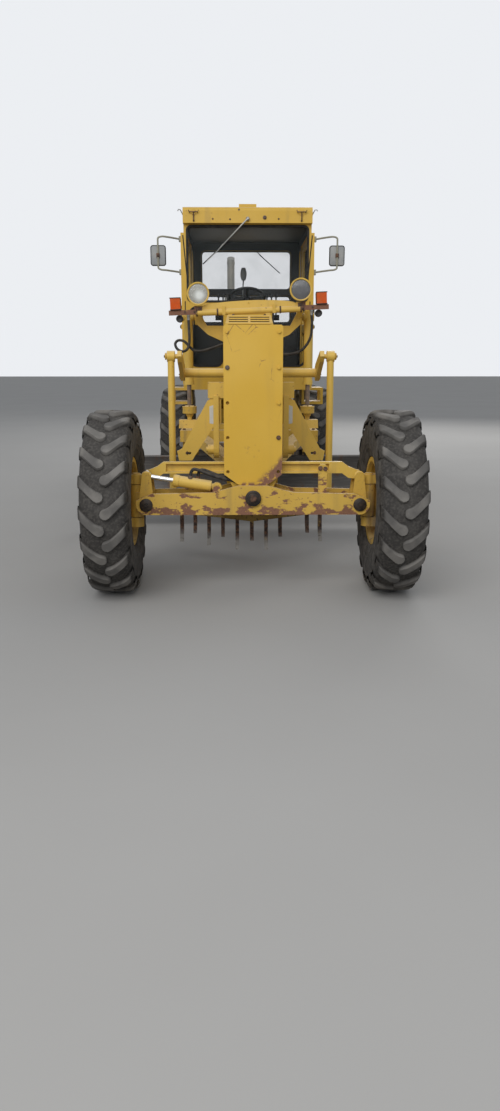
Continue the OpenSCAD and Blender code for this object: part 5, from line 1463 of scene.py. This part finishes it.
for number, (depth, shift) in enumerate(PORTS):
    x, z = -0.470 + shift, 0.868 - shift * 0.16
    rising = [at(x + 0.004, depth, z + 0.022), at(x + 0.010, depth, z + 0.050),
              at(x + 0.026, depth, z + 0.068), at(x + 0.055, depth, z + 0.066)]
    resting = [at(x + 0.105, depth, z + 0.046), at(x + 0.175, depth, z + 0.020),
               at(x + 0.240, depth + 0.004, z)]
    leaving = [at(-0.165 + shift * 0.5, depth + 0.012, 0.855),
               at(-0.120 + shift * 0.5, -0.058 + shift * 0.4, 0.838),
               at(-0.090 + shift * 0.5, -0.042 + shift * 0.5, 0.834)]
    path = smooth_path(rising + resting + leaving, 3)
    lengths.append(length_of(path))
    piece = Form().tube(path, 0.0125, 12)
    piece = piece.make(f"lean_hose_{number}", "front_frame", hose_rubber, "hose_rubber")
print("hoses:", [round(v, 3) for v in lengths], "m")

# %% [markdown]
# ## Blade and circle
#
# The cutting edge is held by a row of bolts with heads on both faces of the curved
# blade, so each bolt's place is a radius and an angle about the blade's own axis. The
# circle's teeth, which a pinion turns on the real machine, are one tooth and a ring.

# %% Blade and circle
EDGE_BOLTS, EDGE_PITCH, TEETH = 20, 0.165, 128
slant = math.radians(-21.3)
for way, radius in ((-1, 0.4785), (1, 0.521)):
    behind, z = 2.090 + radius * math.cos(slant), 0.445 + radius * math.sin(slant)
    row = [at(EDGE_PITCH * (i - (EDGE_BOLTS - 1) / 2), behind, z) for i in range(EDGE_BOLTS)]
    bolt("circle", row, (0, way * math.cos(slant), way * math.sin(slant)), 0.013)

tooth = Form()
tooth.prism([(-0.009, 0.611), (-0.005, 0.6055), (0.005, 0.6055), (0.009, 0.611)], 0.872, 0.943, "Z")
teeth = in_ring.mesh_of(tooth.loose("circle_teeth"), ring_steel, Count=TEETH,
                        Centre=(0.0, AXLE + 2.5, 0.0), Axis=(0.0, 0.0, 1.0), Start=0.0)
settle(teeth, "circle")
shoes = [at(s * x, y, 1.0605) for s in (-1, 1) for x in (0.545, 0.640) for y in (2.045, 2.885)]
bolt("drawbar", shoes, UP, 0.014)
print("circle:", TEETH, "teeth")

# %% [markdown]
# ## Wedges of the scarifier
#
# The scarifier breaks hard ground with a row of teeth, set in a V. A wedge locks each
# tooth in its socket, and one socket is empty, as in the photograph. The wedges are
# small blocks whose places follow from the socket's number.

# %% Wedges of the scarifier
SOCKETS, EMPTY_SOCKET, SOCKET_STEP = range(-5, 6), 3, 0.119  # Counted from the middle
wedges = Form()
for i in SOCKETS:
    if i != EMPTY_SOCKET:
        x, front = SOCKET_STEP * i, 0.390 + abs(i) * 0.078
        wedges.box(at(x - 0.024, front, 0.5505), at(x + 0.024, front + 0.080, 0.562), 0.003)
wedges.make("shank_wedges", "scarifier", bolt_steel, "rusty_steel")
print("wedges:", len(SOCKETS) - 1)

# %% [markdown]
# ## Wheel hubs
#
# Each hub gets a domed cap and a ring of small bolts, and each rim a valve. They ride
# on the wheel's body and turn with it. The rear hubs are larger than the front ones.

# %% Wheel hubs
HUBS = {"front": (0.100, 0.072), "mid": (0.120, 0.090), "rear": (0.120, 0.090)}  # Reach, and cap's radius
for axle, behind, middle in WHEELS:
    reach, cap_r = HUBS[axle]
    for side, s in (("left", -1), ("right", 1)):
        hub = Form()
        hub.turned([(-0.004, cap_r), (0.006, cap_r), (0.008, cap_r - 0.014), (0.014, cap_r * 0.62),
                    (0.019, cap_r * 0.5), (0.021, 0.0)],
                   at(s * (middle + reach), behind, TYRE_R), (s, 0, 0), 32)
        valve = [at(s * (middle + 0.070), behind, 0.965), at(s * (middle + 0.104), behind, 0.968)]
        hub.tube(valve, 0.005, 6)
        hub.make(f"hub_cap_{axle}_{side}", f"wheel_{axle}_{side}", wheel_paint, "yellow_paint")
        ring = round_about(cap_r - 0.008, [math.pi * k / 4 for k in range(8)])
        places = [at(s * (middle + reach + 0.0075), behind + a, TYRE_R + b) for a, b in ring]
        bolt(f"wheel_{axle}_{side}", places, (s, 0, 0), 0.006)
print("hubs:", 2 * len(HUBS))

# %% [markdown]
# ## Hood, tandem cases and bumper
#
# The photograph barely shows the engine end, so it has only what such machines carry: a
# fuel and a radiator cap, latches, seams and a hand rail on the hood, covers on the
# tandem cases, and tail lamps on the bumper. Plain boxes and turned profiles do, as
# long as their edges are rounded.

# %% Hood, tandem cases and bumper
REAR, TANDEM = 7.66, 5.96  # Behind the front axle: the bumper, and the tandem cases' pivot
LAMP_LOW, LAMP_HIGH = 1.248, 1.304
lids, dark, metal, lamps_red, lamps_orange = Form(), Form(), Form(), Form(), Form()
cover_bolts = round_about(0.115, [2 * math.pi * k / 10 for k in range(10)])
for x, y in ((0.0, 7.20), (-0.24, 6.10)):
    lids.turned([(-0.002, 0.0), (-0.002, 0.062), (0.010, 0.062), (0.014, 0.050), (0.034, 0.050),
                 (0.042, 0.044), (0.042, 0.0)], at(x, y, 2.060), UP, 24)
for s in (-1, 1):
    seam, latch, lamp = s * 0.4305, s * 0.434, s * 0.46
    for y in (5.42, 6.55):
        dark.box(at(seam - 0.002, y - 0.003, 1.150), at(seam + 0.002, y + 0.003, 1.990), 0.0)
    for y in (5.60, 6.35, 6.75, 7.25):
        metal.box(at(latch - 0.007, y - 0.018, 1.235), at(latch + 0.007, y + 0.018, 1.305), 0.004)
    rail = [at(s * 0.428, 5.55, 1.96), at(s * 0.470, 5.56, 1.966), at(s * 0.472, 6.80, 1.966),
            at(s * 0.428, 6.81, 1.96)]
    dark.tube(smooth_path(rail, 4), 0.012, 8)
    metal.box(at(lamp - 0.052, REAR - 0.085, 1.2405), at(lamp + 0.052, REAR - 0.020, 1.310), 0.005)
    lamps_red.box(at(lamp - 0.046, REAR - 0.0205, LAMP_LOW), at(lamp - 0.002, REAR - 0.010, LAMP_HIGH),
                  0.004)
    lamps_orange.box(at(lamp + 0.002, REAR - 0.0205, LAMP_LOW), at(lamp + 0.046, REAR - 0.010, LAMP_HIGH),
                     0.004)
    lids.turned([(0.0, 0.0), (0.0, 0.130), (0.012, 0.130), (0.016, 0.115), (0.016, 0.0)],
                at(s * 0.700, TANDEM, 0.700), (s, 0, 0), 36)
    lids.turned([(-0.002, 0.0), (-0.002, 0.034), (0.016, 0.034), (0.020, 0.028), (0.020, 0.0)],
                at(s * 0.600, TANDEM, 0.925), UP, 20)
    bolt("rear_frame", [at(s * 0.7145, TANDEM + a, 0.700 + b) for a, b in cover_bolts], (s, 0, 0),
         0.009)
lids.make("filler_caps", "rear_frame", hood_paint, "yellow_paint")
dark.make("hood_seams", "rear_frame", black_metal, "black_paint")
metal.make("hood_latches", "rear_frame", black_metal, "black_paint")
lamps_red.make("tail_lamps", "rear_frame", red_lens, None)
lamps_orange.make("rear_signals", "rear_frame", orange_lens, None)
grille_bolts = [at(s * 0.410, 7.441, z) for s in (-1, 1) for z in (1.20, 1.55, 1.90)]
bolt("rear_frame", grille_bolts, (0, 1, 0), 0.010)
print("hood done")

# %% [markdown]
# ## Exhaust and air cleaner
#
# The stack has a lip, a rain cap that stands half open, and a band at each end of its
# silencer. The air cleaner's bowl is black. Rings are closed profiles, so that they
# stay open in the middle.

# %% Exhaust and air cleaner
STACK_X, STACK_BEHIND = -0.200, 6.900
stack = Form()
stack.turned([(0.0, 0.052), (0.0, 0.060), (0.030, 0.060), (0.030, 0.052)],
             at(STACK_X, STACK_BEHIND, 3.140), UP, 28, True)
stack.turned([(0.0, 0.0), (0.0, 0.058), (0.004, 0.058), (0.004, 0.0)], at(STACK_X, 6.968, 3.222),
             (0, -0.62, 0.78), 24)
stack.box(at(STACK_X - 0.012, 6.950, 3.160), at(STACK_X + 0.012, 6.985, 3.200), 0.002)
for z in (2.680, 2.120):
    stack.turned([(0.0, 0.102), (0.006, 0.108), (0.020, 0.108), (0.026, 0.102)],
                 at(STACK_X, STACK_BEHIND, z), UP, 28, True)
stack.make("exhaust_fittings", "rear_frame", stack_steel, "rusty_steel")
bowl = Form()
bowl.turned([(0.0, 0.062), (0.010, 0.108), (0.030, 0.112), (0.060, 0.104), (0.090, 0.070), (0.100, 0.0)],
            at(0.200, 6.300, 2.622), UP, 32)
bowl.make("air_cleaner_bowl", "rear_frame", black_metal, "black_paint")
print("engine end done")

# %% [markdown]
# ## Bolts
#
# All bolts were only noted so far. Now each body and finish gets one cloud of points,
# whose attributes say which way a bolt faces and how large it is, and the tree sets a
# head on every point. That makes a few meshes instead of hundreds of objects.

# %% Bolts


def by_name(entry):
    """Bodies in the order of their names, and then finishes, so each run is the same."""
    (body, finish), _ = entry
    return body, finish.material.name


for number, ((body, finish), rows) in enumerate(sorted(bolts.items(), key=by_name)):
    places, facings, sizes = zip(*rows)
    points = bpy.data.meshes.new("bolt_points")
    points.from_pydata(places, [], [])
    ways = points.attributes.new("facing", "FLOAT_VECTOR", "POINT")
    ways.data.foreach_set("vector", [part for facing in facings for part in facing])
    points.attributes.new("size", "FLOAT", "POINT").data.foreach_set("value", sizes)
    heads = bolt_heads.mesh_of(bpy.data.objects.new(f"bolts_{body}_{number}", points), finish)
    settle(heads, body)
print("bolts:", sum(len(rows) for rows in bolts.values()))

# %% [markdown]
# ## Floor
#
# The floor is plain and wide, and keeps the machine's shadow, which tells the eye that
# it stands on its tyres.

# %% Floor
floor_mesh = bpy.data.meshes.new("floor")
floor_mesh.from_pydata([(-60, -40, 0), (60, -40, 0), (60, 90, 0), (-60, 90, 0)], [], [(0, 1, 2, 3)])
floor = bpy.data.objects.new("floor", floor_mesh)
bpy.context.scene.collection.objects.link(floor)
ground = Finish("floor_grey", Roughness=0.9, Specular_IOR_Level=0.1)
ground.set(Base_Color=ground.mix(ground.noise(0.5, 4), (0.31, 0.30, 0.285), (0.35, 0.34, 0.325)))
floor_mesh.materials.append(ground.material)
